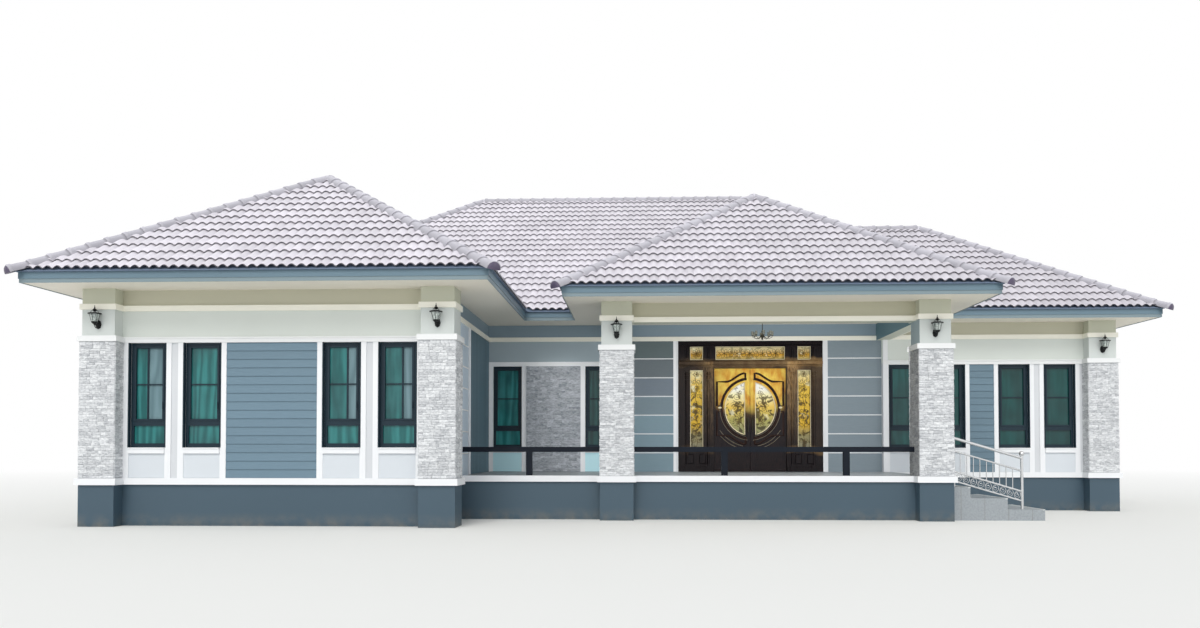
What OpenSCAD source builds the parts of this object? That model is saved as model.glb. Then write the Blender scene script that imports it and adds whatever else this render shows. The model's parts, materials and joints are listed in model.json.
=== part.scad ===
// Single storey bungalow with hipped tile roofs, stone columns and a carved double door.
// Millimetres, +Z up, front towards -Y, origin on the ground in the middle of the house.

/* [Plan] */

// half of the width between the outer faces of the end walls
half_w = 8860; // [8000:10:9500]
// half of the depth between the front wall of the left wing and the rear wall
half_d = 6930; // [6500:10:7500]
// width between the outer faces of a wing
wing_w = 5460; // [5000:10:5800]
// outer face of the wall with the entrance door
door_y = -2280; // [-2600:10:-2000]
// outer face of the portico beam
portico_y = -5260; // [-5500:10:-4800]
// left end of the portico beam
portico_x = -710; // [-900:10:-500]
// left corner of the right wing front wall
corner_x = 4600; // [4500:10:4800]
// how far the right wing front wall stands ahead of the entrance wall
return_d = 120; // [60:10:300]
// right face of the main block behind the right wing
main_x = 6900; // [6500:10:7300]

/* [Heights] */

// top of the dark plinth
plinth_h = 655; // [500:5:800]
// top of the floor
floor_z = 760; // [600:5:900]
// underside of the eaves and ceiling
soffit_z = 3760; // [3500:10:3900]
// thickness of the outer walls
wall_t = 250; // [200:10:300]
// thickness of the ceiling slab
ceiling_t = 100; // [80:10:160]

/* [Roof] */

// distance from the wall face to the fascia face
overhang = 870; // [700:10:1000]
// rise over run of every roof slope
slope = 0.65; // [0.5:0.01:0.8]
// upper surface of the tiles at the fascia face
eave_z = 3955; // [3940:5:3980]
// upright thickness of the roof shell
roof_t = 120; // [100:5:160]
// tile overhang past the fascia
drip = 40; // [20:5:60]
// height of the fascia
fascia_h = 165; // [140:5:200]
// thickness of the fascia board
fascia_t = 25; // [20:1:40]
// how far the wing roofs lie under the plane of the main roof
wing_drop = 6; // [4:1:15]
// width of the ridge and hip caps in plan
cap_w = 220; // [160:10:280]
// height of the ridge and hip caps over the tiles
cap_h = 85; // [30:5:100]

/* [Columns] */

// side of a stone column shaft
col_w = 575; // [500:5:650]
// how far a corner column stands out from the wall face
col_out = 258; // [200:2:300]
// side of the smooth upper part of a column
col_up_w = 528; // [480:2:575]

/* [Mouldings] */

// how far a moulding stands out from the wall
mould_out = 30; // [20:2:50]
// height of a moulding
mould_h = 90; // [60:5:120]
// underside of the upper moulding
mould_hi_z = 3425; // [3300:5:3500]
// underside of the lower moulding
mould_lo_z = 2920; // [2800:5:3000]
// how far the plinth band stands out
band_out = 45; // [30:1:60]

/* [Windows] */

// width of a window opening
win_w = 590; // [500:5:700]
// sill top of a window opening
win_z0 = 1245; // [1100:5:1400]
// head of a window opening
win_z1 = 2920; // [2800:5:3000]
// distance between the middles of two paired windows
win_pair = 895; // [850:5:950]
// distance from a wing corner to the middle of its outer window
win_end = 710; // [700:5:760]
// distance from the inner corner of the right wing to its first window
win_corner = 425; // [400:5:450]
// width of a frame member
win_frame = 46; // [30:1:60]
// depth of a window frame
win_d = 70; // [50:5:100]
// width of the white window trims
trim_w = 98; // [80:1:120]
// how far trims stand out from the wall
trim_out = 18; // [12:1:30]

/* [Door] */

// middle of the doorway
door_x = 1960; // [1800:10:2100]
// width of the doorway in the wall
door_w = 2930; // [2700:10:3100]
// width of one door leaf
leaf_w = 722; // [650:1:800]
// height of a door leaf
leaf_h = 2090; // [2000:5:2200]
// thickness of a door leaf
leaf_t = 50; // [40:1:60]
// opening angle of the left leaf, for a look at the swing
open_left = 0; // [0:1:90]
// opening angle of the right leaf, for a look at the swing
open_right = 0; // [0:1:90]

/* [Hidden] */

left_x = -half_w;
right_x = half_w;
front_y = -half_d;
rear_y = half_d;
inner_x = left_x + wing_w;
portico_x2 = portico_x + wing_w;
right_front = door_y - return_d;
right_rear = door_y + wing_w;
room_h = soffit_z - floor_z;
win_h = win_z1 - win_z0;
eave_half = wing_w / 2 + overhang;
wing_mid = left_x + wing_w / 2;
portico_mid = portico_x + wing_w / 2;
leaf_z = floor_z + 16;
door_z1 = mould_hi_z;
// window middles on each wall, measured along the wall
front_windows = [left_x + win_end, left_x + win_end + win_pair,
                 inner_x - win_end - win_pair, inner_x - win_end];
porch_windows = [inner_x + 394, inner_x + 2290];
right_windows = [corner_x + win_corner, corner_x + win_corner + win_pair,
                 right_x - win_end - 65 - win_pair, right_x - win_end - 65];
left_windows = [front_y + 2030, front_y + 4130, rear_y - 6630, rear_y - 3730, rear_y - 1530];
end_windows = [right_front + 1500, right_rear - 1480];
rear_windows = [left_x + 1660, left_x + 4060, left_x + 6660, left_x + 9160, main_x - 4000, main_x - 1600];
side_window = [rear_y - 1830];
// where the striped field behind the wing column ends
stripe_y = front_y + 2240;
// roof rectangles: x0, x1, y0, y1 of the fascia faces
main_rect = [left_x - overhang, main_x + overhang, door_y - overhang, rear_y + overhang];
left_rect = [left_x - overhang, inner_x + overhang, front_y - overhang, rear_y];
port_rect = [portico_x - overhang, portico_x2 + overhang, portico_y - overhang, rear_y];
right_rect = [main_x - 3330, right_x + overhang, door_y - overhang, right_rear + overhang];

module box(x0, x1, y0, y1, z0, z1) {
    translate([x0, y0, z0]) cube([x1 - x0, y1 - y0, z1 - z0]);
}

// joint between a column foot and the plinth wall
foot_gap = 0.3;

module rect_box(r, z0, z1, g = 0) {
    box(r[0] - g, r[1] + g, r[2] - g, r[3] + g, z0, z1);
}

// footprint of the enclosed rooms, grown by g
module house_plan(g, z0, z1) {
    box(left_x - g, inner_x + g, front_y - g, rear_y + g, z0, z1);
    box(left_x - g, main_x + g, door_y - g, rear_y + g, z0, z1);
    box(corner_x - g, right_x + g, right_front - g, right_rear + g, z0, z1);
}

// corner columns: x and y of the wall corner, and the way that each looks out
corners = [[left_x, front_y, -1, -1], [inner_x, front_y, 1, -1], [right_x, right_front, 1, -1],
           [left_x, rear_y, -1, 1], [main_x, rear_y, 1, 1], [right_x, right_rear, 1, 1]];

// square box at a wall corner, standing out and going in, with its edge g wider
module corner_box(c, w, out, z0, z1) {
    x0 = c[2] < 0 ? c[0] - out : c[0] + out - w;
    y0 = c[3] < 0 ? c[1] - out : c[1] + out - w;
    box(x0, x0 + w, y0, y0 + w, z0, z1);
}

portico_posts = [[portico_x - col_out + col_w / 2, portico_y - col_out + col_w / 2],
                 [portico_x2 + col_out - col_w / 2, portico_y - col_out + col_w / 2]];

module post_box(p, w, z0, z1) {
    box(p[0] - w / 2, p[0] + w / 2, p[1] - w / 2, p[1] + w / 2, z0, z1);
}

// porch footprint, from the wing to the steps
module porch_plan(g, z0, z1) {
    box(inner_x + g, portico_x2 + g, portico_y - g, door_y - g, z0, z1);
}

module plinth() {
    color("#3d4d59") union() {
        house_plan(0, 0, plinth_h);
        porch_plan(0, 0, plinth_h);
        difference() {
            union() {
                for (c = corners) corner_box(c, col_w, col_out, 0, plinth_h);
                for (p = portico_posts) post_box(p, col_w, 0, plinth_h);
            }
            house_plan(foot_gap, -1, plinth_h + 1);
            porch_plan(foot_gap, -1, plinth_h + 1);
        }
    }
}

module floor_slab() {
    color("#b9b4aa") house_plan(0, plinth_h, floor_z);
}

module porch_floor() {
    color("#a9adb0") difference() {
        union() {
            porch_plan(0, plinth_h, floor_z);
            for (p = portico_posts) post_box(p, col_w, plinth_h, floor_z);
        }
        house_plan(0, plinth_h - 1, floor_z + 1);
        corner_box(corners[1], col_w, col_out, plinth_h - 1, floor_z + 1);
    }
}

// white band round the top of the plinth and the edge of the porch
module plinth_band() {
    color("#f2f2f0") difference() {
        union() {
            house_plan(band_out, plinth_h, floor_z);
            for (c = corners)
                corner_box(c, col_w + 2 * band_out, col_out + band_out, plinth_h, floor_z);
            porch_plan(band_out, plinth_h, floor_z);
            for (p = portico_posts) post_box(p, col_w + 2 * band_out, plinth_h, floor_z);
        }
        house_plan(0, plinth_h - 1, floor_z + 1);
        for (c = corners) corner_box(c, col_w, col_out, plinth_h - 1, floor_z + 1);
        porch_plan(0, plinth_h - 1, floor_z + 1);
        for (p = portico_posts) post_box(p, col_w, plinth_h - 1, floor_z + 1);
    }
}

// a wall along X with window openings; y0 is its lower Y face
module wall_x(x0, x1, y0, mids, z1 = soffit_z) {
    difference() {
        box(x0, x1, y0, y0 + wall_t, floor_z, z1);
        for (m = mids) box(m - win_w / 2, m + win_w / 2, y0 - 10, y0 + wall_t + 10, win_z0, win_z1);
    }
}

module wall_y(x0, y0, y1, mids) {
    difference() {
        box(x0, x0 + wall_t, y0, y1, floor_z, soffit_z);
        for (m = mids) box(x0 - 10, x0 + wall_t + 10, m - win_w / 2, m + win_w / 2, win_z0, win_z1);
    }
}

module front_wall() { color("#c9c8c0") wall_x(left_x, inner_x, front_y, front_windows); }
module left_wall() {
    color("#c9c8c0") wall_y(left_x, front_y + wall_t, rear_y - wall_t, left_windows);
}
module wing_inner_wall() {
    color("#c9c8c0") wall_y(inner_x - wall_t, front_y + wall_t, door_y + wall_t, []);
}
module porch_wall() {
    color("#c9c8c0") wall_x(inner_x, door_x - door_w / 2, door_y, porch_windows);
}
module door_head() {
    color("#c9c8c0") box(door_x - door_w / 2, door_x + door_w / 2, door_y, door_y + wall_t,
                         door_z1, soffit_z);
}
module door_wall_right() {
    color("#c9c8c0") box(door_x + door_w / 2, corner_x, door_y, door_y + wall_t, floor_z, soffit_z);
}
module right_front_wall() { color("#c9c8c0") wall_x(corner_x, right_x, right_front, right_windows); }
module right_walls() {
    color("#c9c8c0") {
        wall_y(right_x - wall_t, right_front + wall_t, right_rear - wall_t, end_windows);
        wall_x(main_x - wall_t, right_x, right_rear - wall_t, []);
        wall_y(main_x - wall_t, right_rear, rear_y - wall_t, side_window);
    }
}
module rear_wall() { color("#c9c8c0") wall_x(left_x, main_x, rear_y - wall_t, rear_windows); }

// stone shafts and smooth upper parts of the corner and portico columns
module columns() {
    color("#cfd1d0") {
        difference() {
            for (c = corners) {
                corner_box(c, col_w, col_out, plinth_h, mould_lo_z + mould_h);
                corner_box(c, col_up_w, col_out - (col_w - col_up_w) / 2, mould_lo_z, soffit_z);
            }
            house_plan(0, 0, soffit_z + 1);
        }
        for (p = portico_posts) {
            post_box(p, col_w, floor_z, mould_lo_z + mould_h);
            post_box(p, col_up_w, mould_lo_z, soffit_z);
        }
    }
}

// beams round the portico, between the posts and back to the entrance wall
module portico_beams() {
    color("#c9c8c0") difference() {
        box(portico_x, portico_x2, portico_y, door_y, mould_hi_z, soffit_z);
        box(portico_x + wall_t, portico_x2 - wall_t, portico_y + wall_t, door_y + 1,
            mould_hi_z - 1, soffit_z + 1);
        for (p = portico_posts) post_box(p, col_up_w, mould_hi_z - 1, soffit_z + 1);
        house_plan(0, 0, soffit_z + 1);
    }
}

// one moulding ring round walls, columns and beams
module moulding_ring(z, w, beams) {
    g = mould_out;
    z1 = z + mould_h;
    difference() {
        union() {
            house_plan(g, z, z1);
            for (c = corners) corner_box(c, w + 2 * g, col_out - (col_w - w) / 2 + g, z, z1);
            for (p = portico_posts) post_box(p, w + 2 * g, z, z1);
            if (beams) difference() {
                box(portico_x - g, portico_x2 + g, portico_y - g, door_y, z, z1);
                box(portico_x + wall_t, portico_x2 - wall_t, portico_y + wall_t, door_y - g, z - 1, z1 + 1);
            }
        }
        house_plan(0, z - 1, z1 + 1);
        for (c = corners) corner_box(c, w, col_out - (col_w - w) / 2, z - 1, z1 + 1);
        for (p = portico_posts) post_box(p, w, z - 1, z1 + 1);
        if (beams) {
            box(portico_x, portico_x + wall_t, portico_y, door_y, z - 1, z1 + 1);
            box(portico_x2 - wall_t, portico_x2, portico_y, door_y, z - 1, z1 + 1);
            box(portico_x, portico_x2, portico_y, portico_y + wall_t, z - 1, z1 + 1);
        }
    }
}

// white mouldings under the eaves frieze and over the windows
module mouldings() {
    color("#f2f2f0") {
        moulding_ring(mould_hi_z, col_up_w, true);
        difference() {
            moulding_ring(mould_lo_z, col_w, false);
            box(-750, corner_x, door_y - 200, door_y, mould_lo_z - 1, mould_lo_z + mould_h + 1);
            box(inner_x, inner_x + 100, front_y - col_out + col_w, door_y - mould_out,
                mould_lo_z - 1, mould_lo_z + mould_h + 1);
        }
    }
}

// pitched volume over a rectangle, its slopes raised by dz; hips at the chosen ends
module hip_volume(r, dz, hx0, hx1, hy0, hy1, g) {
    z0 = (dz < -50 ? 3400 : 3500) - dz;
    zr = eave_z + 9000 * slope;
    big = 9000;
    intersection() {
        translate([r[0] - g, 0, dz]) rotate([90, 0, 90])
            linear_extrude(r[1] - r[0] + 2 * g) polygon(
                hy1 ? [[r[2] - g, z0], [r[2] - g, eave_z - g * slope],
                       [(r[2] + r[3]) / 2, eave_z + (r[3] - r[2]) / 2 * slope],
                       [r[3] + g, eave_z - g * slope], [r[3] + g, z0]]
                    : [[r[2] - g, z0], [r[2] - g, eave_z - g * slope],
                       [r[2] + big, eave_z + big * slope], [r[2] + big, z0]]);
        translate([0, r[3] + 5000, dz]) rotate([90, 0, 0])
            linear_extrude(r[3] - r[2] + 10000) polygon(
                hx0 && hx1 ? [[r[0] - g, z0], [r[0] - g, eave_z - g * slope],
                       [(r[0] + r[1]) / 2, eave_z + (r[1] - r[0]) / 2 * slope],
                       [r[1] + g, eave_z - g * slope], [r[1] + g, z0]]
                    : [[r[0] - g, z0], [r[0] - g, zr],
                       [r[1] - 9000, zr], [r[1] + g, eave_z - g * slope], [r[1] + g, z0]]);
    }
}

// outer or inner volume of each roof block; g is the overhang past the fascia face
module main_volume(dz, g) { hip_volume(main_rect, dz, true, true, true, true, g); }
module left_volume(dz, g) { hip_volume(left_rect, dz - wing_drop, true, true, true, false, g); }
module portico_volume(dz, g) { hip_volume(port_rect, dz - wing_drop, true, true, true, false, g); }
module right_volume(dz, g) { hip_volume(right_rect, dz - wing_drop, false, true, true, true, g); }

// plan of all the eaves, grown by g
module eaves_plan(g, z0, z1) {
    rect_box(main_rect, z0, z1, g);
    box(left_rect[0] - g, left_rect[1] + g, left_rect[2] - g, 0, z0, z1);
    box(port_rect[0] - g, port_rect[1] + g, port_rect[2] - g, 0, z0, z1);
    box(main_x, right_rect[1] + g, right_rect[2] - g, right_rect[3] + g, z0, z1);
}

module below_fascia() {
    difference() {
        box(-12000, 12000, -12000, 12000, 3000, soffit_z - 10 + fascia_h);
        eaves_plan(-fascia_t, 2900, eave_z);
    }
}

module main_roof() {
    color("#c6c3cf") difference() {
        main_volume(0, drip);
        main_volume(-roof_t, 0);
        left_volume(-roof_t, 0);
        portico_volume(-roof_t, 0);
        right_volume(-roof_t, 0);
        below_fascia();
    }
}

module left_roof() {
    color("#c6c3cf") difference() {
        left_volume(0, drip);
        left_volume(-roof_t, 0);
        main_volume(0, drip);
        below_fascia();
    }
}

module portico_roof() {
    color("#c6c3cf") difference() {
        portico_volume(0, drip);
        portico_volume(-roof_t, 0);
        main_volume(0, drip);
        below_fascia();
    }
}

module right_roof() {
    color("#c6c3cf") difference() {
        right_volume(0, drip);
        right_volume(-roof_t, 0);
        portico_volume(-roof_t, 0);
        main_volume(0, drip);
        below_fascia();
    }
}

// fascia board with a set back lower lip round all the eaves
module fascia() {
    z0 = soffit_z - 10;
    color("#8e9aa6") difference() {
        union() {
            eaves_plan(0, z0 + 60, z0 + fascia_h);
            eaves_plan(-10, z0, z0 + 60);
        }
        eaves_plan(-fascia_t, z0 - 1, z0 + fascia_h + 1);
    }
}

// boards under the eaves and over the portico
module soffit() {
    color("#e9e4d6") difference() {
        eaves_plan(-fascia_t, soffit_z, soffit_z + 25);
        house_plan(0, soffit_z - 1, soffit_z + 26);
    }
}

module ceiling_slab() {
    color("#e6e4dc") house_plan(0, soffit_z, soffit_z + ceiling_t);
}

// upright strip over a roof line: start x and y, plan angle, plan length
module strip(x, y, a, l) {
    translate([x, y, 0]) rotate([0, 0, a]) translate([0, -cap_w / 2, 3000]) cube([l, cap_w, 6000]);
}

// raised caps along every hip and ridge
module ridge_caps() {
    hm = (main_rect[3] - main_rect[2]) / 2;
    ym = (main_rect[2] + main_rect[3]) / 2;
    xa = main_rect[0] + hm;
    xb = main_rect[1] - hm;
    h = eave_half;
    yr = right_rect[2] + h;
    d = drip;
    q = sqrt(2);
    y_join = door_y - overhang + h;
    color("#b3b0bf") difference() {
        intersection() {
            union() {
                main_volume(cap_h, drip);
                left_volume(cap_h, drip);
                portico_volume(cap_h, drip);
                right_volume(cap_h, drip);
            }
            union() {
                for (r = [left_rect, port_rect]) {
                    strip(r[0] - d, r[2] - d, 45, (h + d) * q);
                    strip(r[1] + d, r[2] - d, 135, (h + d) * q);
                    strip(r[0] + h, r[2] + h - 60, 90, y_join - r[2] - h + 60);
                }
                strip(xa - 60, ym, 0, xb - xa + 120);
                strip(main_rect[0] - d, main_rect[3] + d, -45, (hm + d) * q);
                strip(main_rect[1] + d, main_rect[3] + d, -135, (hm + d) * q);
                strip(xa - ym + y_join, y_join, 45, (ym - y_join) * q);
                strip(xb + ym - y_join, y_join, 135, (ym - y_join) * q);
                strip(main_rect[1] - h, yr, 0, right_rect[1] - main_rect[1] + 60);
                strip(right_rect[1] + d, right_rect[2] - d, 135, (h + d) * q);
                strip(right_rect[1] + d, right_rect[3] + d, -135, (h + d) * q);
            }
        }
        main_volume(0, drip);
        left_volume(0, drip);
        portico_volume(0, drip);
        right_volume(0, drip);
    }
}

// frame of one window in a wall along X: mid m, outer wall face y, bar side s
module frame_x(m, y) {
    x0 = m - win_w / 2;
    x1 = m + win_w / 2;
    y0 = y + 60;
    bar = win_z0 + 350;
    difference() {
        box(x0, x1, y0, y0 + win_d, win_z0, win_z1);
        box(x0 + win_frame, x1 - win_frame, y0 - 1, y0 + win_d + 1, win_z0 + win_frame, bar);
        box(x0 + win_frame, x1 - win_frame, y0 - 1, y0 + win_d + 1, bar + 75, win_z1 - win_frame);
    }
}

module glass_x(m, y) {
    x0 = m - win_w / 2 + win_frame;
    x1 = m + win_w / 2 - win_frame;
    y0 = y + 60 + win_d / 2;
    box(x0, x1, y0 - 6, y0 + 6, win_z0 + win_frame, win_z0 + 350);
    box(x0, x1, y0 - 6, y0 + 6, win_z0 + 425, win_z1 - win_frame);
}

// the same for a wall along Y, with outer face x and outward way s
module frame_y(m, x, s) {
    translate([x, m, 0]) rotate([0, 0, s * 90]) frame_x(0, 0);
}

module glass_y(m, x, s) {
    translate([x, m, 0]) rotate([0, 0, s * 90]) glass_x(0, 0);
}

module window_frames() {
    color("#1d2126") {
        for (m = front_windows) frame_x(m, front_y);
        for (m = porch_windows) frame_x(m, door_y);
        for (m = right_windows) frame_x(m, right_front);
    }
}
module side_frames() {
    color("#1d2126") {
        for (m = left_windows) frame_y(m, left_x, -1);
        for (m = end_windows) frame_y(m, right_x, 1);
        for (m = side_window) frame_y(m, main_x, 1);
        for (m = rear_windows) translate([m, rear_y, 0]) rotate([0, 0, 180]) frame_x(0, 0);
    }
}

module front_glass() {
    color("#7fa6a8") {
        for (m = front_windows) glass_x(m, front_y);
        for (m = porch_windows) glass_x(m, door_y);
        for (m = right_windows) glass_x(m, right_front);
    }
}
module side_glass() {
    color("#7fa6a8") {
        for (m = left_windows) glass_y(m, left_x, -1);
        for (m = end_windows) glass_y(m, right_x, 1);
        for (m = side_window) glass_y(m, main_x, 1);
        for (m = rear_windows) translate([m, rear_y, 0]) rotate([0, 0, 180]) glass_x(0, 0);
    }
}

// white boards beside one window, its sill and the grey panel under it
module surround(m) {
    x0 = m - win_w / 2;
    x1 = m + win_w / 2;
    z0 = floor_z;
    box(x0 - trim_w, x0, -trim_out, 0, z0, mould_lo_z);
    box(x1, x1 + trim_w, -trim_out, 0, z0, mould_lo_z);
    box(x0, x1, -trim_out - 25, 0, win_z0 - 95, win_z0);
}

module wall_trims() {
    color("#f2f2f0") {
        for (m = front_windows) translate([m, front_y, 0]) surround(0);
        for (m = porch_windows) translate([m, door_y, 0]) surround(0);
        for (m = right_windows) translate([m, right_front, 0]) surround(0);
        for (m = left_windows) translate([left_x, m, 0]) rotate([0, 0, -90]) surround(0);
        for (m = end_windows) translate([right_x, m, 0]) rotate([0, 0, 90]) surround(0);
        for (m = side_window) translate([main_x, m, 0]) rotate([0, 0, 90]) surround(0);
        for (m = rear_windows) translate([m, rear_y, 0]) rotate([0, 0, 180]) surround(0);
        for (s = [-1, 1]) translate([door_x + s * (door_w + trim_w) / 2, door_y, 0])
            box(-trim_w / 2, trim_w / 2, -trim_out, 0, floor_z, mould_hi_z);
        box(inner_x, inner_x + trim_out, stripe_y, stripe_y + 100, floor_z, mould_hi_z);
    }
}

// board fields between the window pairs
module siding_panels() {
    h0 = floor_z;
    g = win_w / 2 + trim_w;
    color("#8295a3") {
        box(front_windows[1] + g, front_windows[2] - g, front_y - 14, front_y, h0, mould_lo_z);
        box(right_windows[1] + g, right_windows[2] - g, right_front - 14, right_front, h0, mould_lo_z);
        box(inner_x, inner_x + 14, stripe_y + 100, door_y - mould_out, h0, mould_hi_z);
    }
}

// striped fields beside the door and behind the wing column
module striped_panels() {
    h0 = floor_z;
    color("#7c8f9c") {
        box(porch_windows[1] + win_w / 2 + trim_w + 27, door_x - door_w / 2 - trim_w, door_y - 12, door_y, h0, mould_hi_z);
        box(door_x + door_w / 2 + trim_w, corner_x, door_y - 12, door_y, h0, mould_hi_z);
        box(inner_x, inner_x + 12, front_y - col_out + col_w, stripe_y, h0, mould_hi_z);
    }
}

module stone_panel() {
    m = (porch_windows[0] + porch_windows[1]) / 2;
    g = (porch_windows[1] - porch_windows[0]) / 2 - win_w / 2 - trim_w;
    color("#a3a6a8") box(m - g, m + g, door_y - 40, door_y, floor_z, mould_lo_z);
}

glass_w = 242;
side_z0 = 1250;
side_z1 = 2820;
top_z0 = 3050;
top_z1 = 3300;
leaf_x0 = door_x - leaf_w - 4;
leaf_x1 = door_x + leaf_w + 4;
side_x = door_w / 2 - 254;

// front half of an upright round bar on the face y 0
module half_round(r, z0, z1) {
    difference() {
        translate([0, 0, z0]) cylinder(r = r, h = z1 - z0, $fn = 24);
        translate([-r - 1, 0, z0 - 1]) cube([2 * r + 2, r + 1, z1 - z0 + 2]);
    }
}

// slender half column with base, rings and capital
module pilaster() {
    top = side_z1 - 30;
    half_round(30, floor_z + 140, top);
    for (z = [top - 150, top - 70]) half_round(40, z, z + 22);
    half_round(40, side_z0 - 70, side_z0 - 48);
    box(-52, 52, -44, 0, floor_z, floor_z + 140);
    box(-52, 52, -44, 0, top, top + 72);
}

// fixed door frame with openings for the sidelights and the row of top lights
module door_frame() {
    y0 = door_y - 20;
    y1 = door_y + 90;
    color("#3a2418") difference() {
        box(door_x - door_w / 2, door_x + door_w / 2, door_y, y1, floor_z, door_z1);
        box(leaf_x0 - 6, leaf_x1 + 6, y0, y1 + 1, floor_z - 1, leaf_z + leaf_h + 8);
        for (s = [-1, 1]) {
            x = door_x + s * (side_x - glass_w / 2);
            box(x - glass_w / 2, x + glass_w / 2, y0, y1 + 1, side_z0, side_z1);
            box(x - glass_w / 2, x + glass_w / 2, y0, y1 + 1, top_z0, top_z1);
        }
        box(door_x - 692, door_x + 692, y0, y1 + 1, top_z0, top_z1);
    }
    color("#3a2418") for (s = [-1, 1], o = [leaf_w + 128, door_w / 2 - 177]) translate([door_x + s * o, door_y, 0]) {
        pilaster();
        half_round(24, top_z0 + 20, top_z1 - 20);
    }
    color("#3a2418") for (s = [-1, 1]) leaf_place(s, 0) for (z = hinge_z) {
        for (k = [0, 2]) translate([0, 0, z + 34 * k]) {
            knuckle();
            translate([-44, -hinge_y, 0]) cube([44, 3, 33.4]);
        }
    }
}

module door_glass() {
    color("#d9b64a") {
        for (s = [-1, 1]) {
            x = door_x + s * (side_x - glass_w / 2);
            box(x - glass_w / 2, x + glass_w / 2, door_y + 55, door_y + 67, side_z0, side_z1);
            box(x - glass_w / 2, x + glass_w / 2, door_y + 55, door_y + 67, top_z0, top_z1);
        }
        box(door_x - 692, door_x + 692, door_y + 55, door_y + 67, top_z0, top_z1);
    }
}

oval_z = 2045;
oval_a = 517;
oval_b = 551;
meet_w = 98;
oval_up = oval_z - leaf_z;

// outline of one half of the oval, grown by k, set back from the meeting edge
module half_oval(k) {
    a = oval_a + k;
    b = oval_b + k;
    m = meet_w - k / 2;
    f0 = acos(m / a);
    translate([0, oval_up]) polygon([for (i = [0:32]) let (f = f0 - i * f0 / 16)
        [-a * cos(f), b * sin(f)]]);
}

ogee_top = 717;
ogee_side = 660;
ogee_mid = 480;
shoulder = 542;

// shouldered ogee field over the oval, grown by k; s is -1 for the one under it
module ogee_field(k, s) {
    n = 12;
    w = ogee_mid - meet_w;
    rise = (ogee_top - shoulder) / 2;
    translate([0, oval_up]) scale([1, s]) polygon(concat(
        [for (i = [0:n]) [k - meet_w - (w + 2 * k) * i / n, shoulder + k + rise * (1 + cos(180 * i / n))]],
        [[-ogee_side - k, shoulder + k], [-ogee_side - k, 64 - k], [k - meet_w, 64 - k]]));
}

hinge_x = 3;
hinge_y = 9;
hinge_z = [170, 990, 1810];

module knuckle() { cylinder(r = 8, h = 33.4, $fn = 24); }

// carved front layer of a leaf: grooves d deep, cut round the raised fields
module leaf_grooves(d) {
    linear_extrude(d) {
        difference() {
            half_oval(66);
            half_oval(54);
        }
        for (s = [-1, 1]) difference() {
            ogee_field(12, s);
            ogee_field(0, s);
            half_oval(54);
        }
    }
}

// left leaf: origin on the hinge line, closed leaf towards +X, meeting edge last
module leaf_body() {
    x1 = hinge_x + leaf_w;
    y1 = -hinge_y;
    difference() {
        translate([x1, y1, 0]) rotate([90, 0, 0]) linear_extrude(leaf_t) difference() {
            translate([-leaf_w, 0]) square([leaf_w, leaf_h]);
            half_oval(0);
        }
        translate([x1, y1 - leaf_t + 9, 0]) rotate([90, 0, 0]) leaf_grooves(20);
    }
    translate([x1, y1 - leaf_t, 0]) rotate([90, 0, 0]) {
        linear_extrude(14) difference() {
            half_oval(30);
            half_oval(0);
        }
        for (s = [-1, 1]) linear_extrude(7) difference() {
            ogee_field(0, s);
            half_oval(66);
        }
        translate([-600, oval_up, 0]) cylinder(r1 = 26, r2 = 8, h = 16, $fn = 12);
    }
    translate([hinge_x + 130, y1 - leaf_t - 10, 110]) cube([leaf_w - 260, 10, 350]);
    for (z = hinge_z) {
        translate([0, 0, z + 34]) knuckle();
        translate([0, y1, z + 34]) cube([44, 3, 33.4]);
    }
}

module leaf_pane() {
    translate([hinge_x + leaf_w, 5 - leaf_t / 2 - hinge_y, 0]) rotate([90, 0, 0]) linear_extrude(10)
        half_oval(0);
}

// puts a leaf part on its hinge line, s -1 for the left leaf, turned by a degrees
module leaf_place(s, a) {
    x = s < 0 ? leaf_x0 - hinge_x : leaf_x1 + hinge_x;
    translate([x, door_y + 90 + hinge_y, leaf_z]) rotate([0, 0, a]) mirror([s < 0 ? 0 : 1, 0, 0])
        children();
}

module door_leaf_left() { color("#4a2c1c") leaf_place(-1, open_left) leaf_body(); }
module door_leaf_right() { color("#4a2c1c") leaf_place(1, -open_right) leaf_body(); }
module leaf_glass_left() { color("#d9b64a") leaf_place(-1, open_left) leaf_pane(); }
module leaf_glass_right() { color("#d9b64a") leaf_place(1, -open_right) leaf_pane(); }

// pull handle and its two feet on each leaf
module handle() {
    y = -hinge_y - leaf_t;
    x = hinge_x + leaf_w - 42;
    translate([x, y - 50, 790]) cylinder(r = 12, h = 300, $fn = 24);
    for (z = [820, 1060]) translate([x, y - 50, z]) rotate([-90, 0, 0])
        cylinder(r = 9, h = 50, $fn = 24);
}

module handle_left() { color("#b8923c") leaf_place(-1, open_left) handle(); }
module handle_right() { color("#b8923c") leaf_place(1, -open_right) handle(); }

step_h = floor_z / 4;
step_run = 625;
step_y1 = portico_y + 1450;

// three broad steps at the right end of the porch
module steps() {
    color("#9da3a6") difference() {
        for (i = [1:3])
            box(portico_x2, portico_x2 - 15 + i * step_run, portico_y, step_y1, 0, floor_z - i * step_h);
        post_box(portico_posts[1], col_w, -1, floor_z);
    }
}

// round bar between two points
module bar(a, b, r) {
    d = b - a;
    l = norm(d);
    translate(a) rotate([0, acos(d[2] / l), atan2(d[1], d[0])]) cylinder(r = r, h = l, $fn = 16);
}

rail_y = portico_y + 60;
rail_x0 = portico_x2 + col_out;
rail_x1 = rail_x0 + 1242;
rail_slope = -0.298;

function rail_z(x, drop) = floor_z + 677 + (x - rail_x0) * rail_slope - drop;

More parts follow.
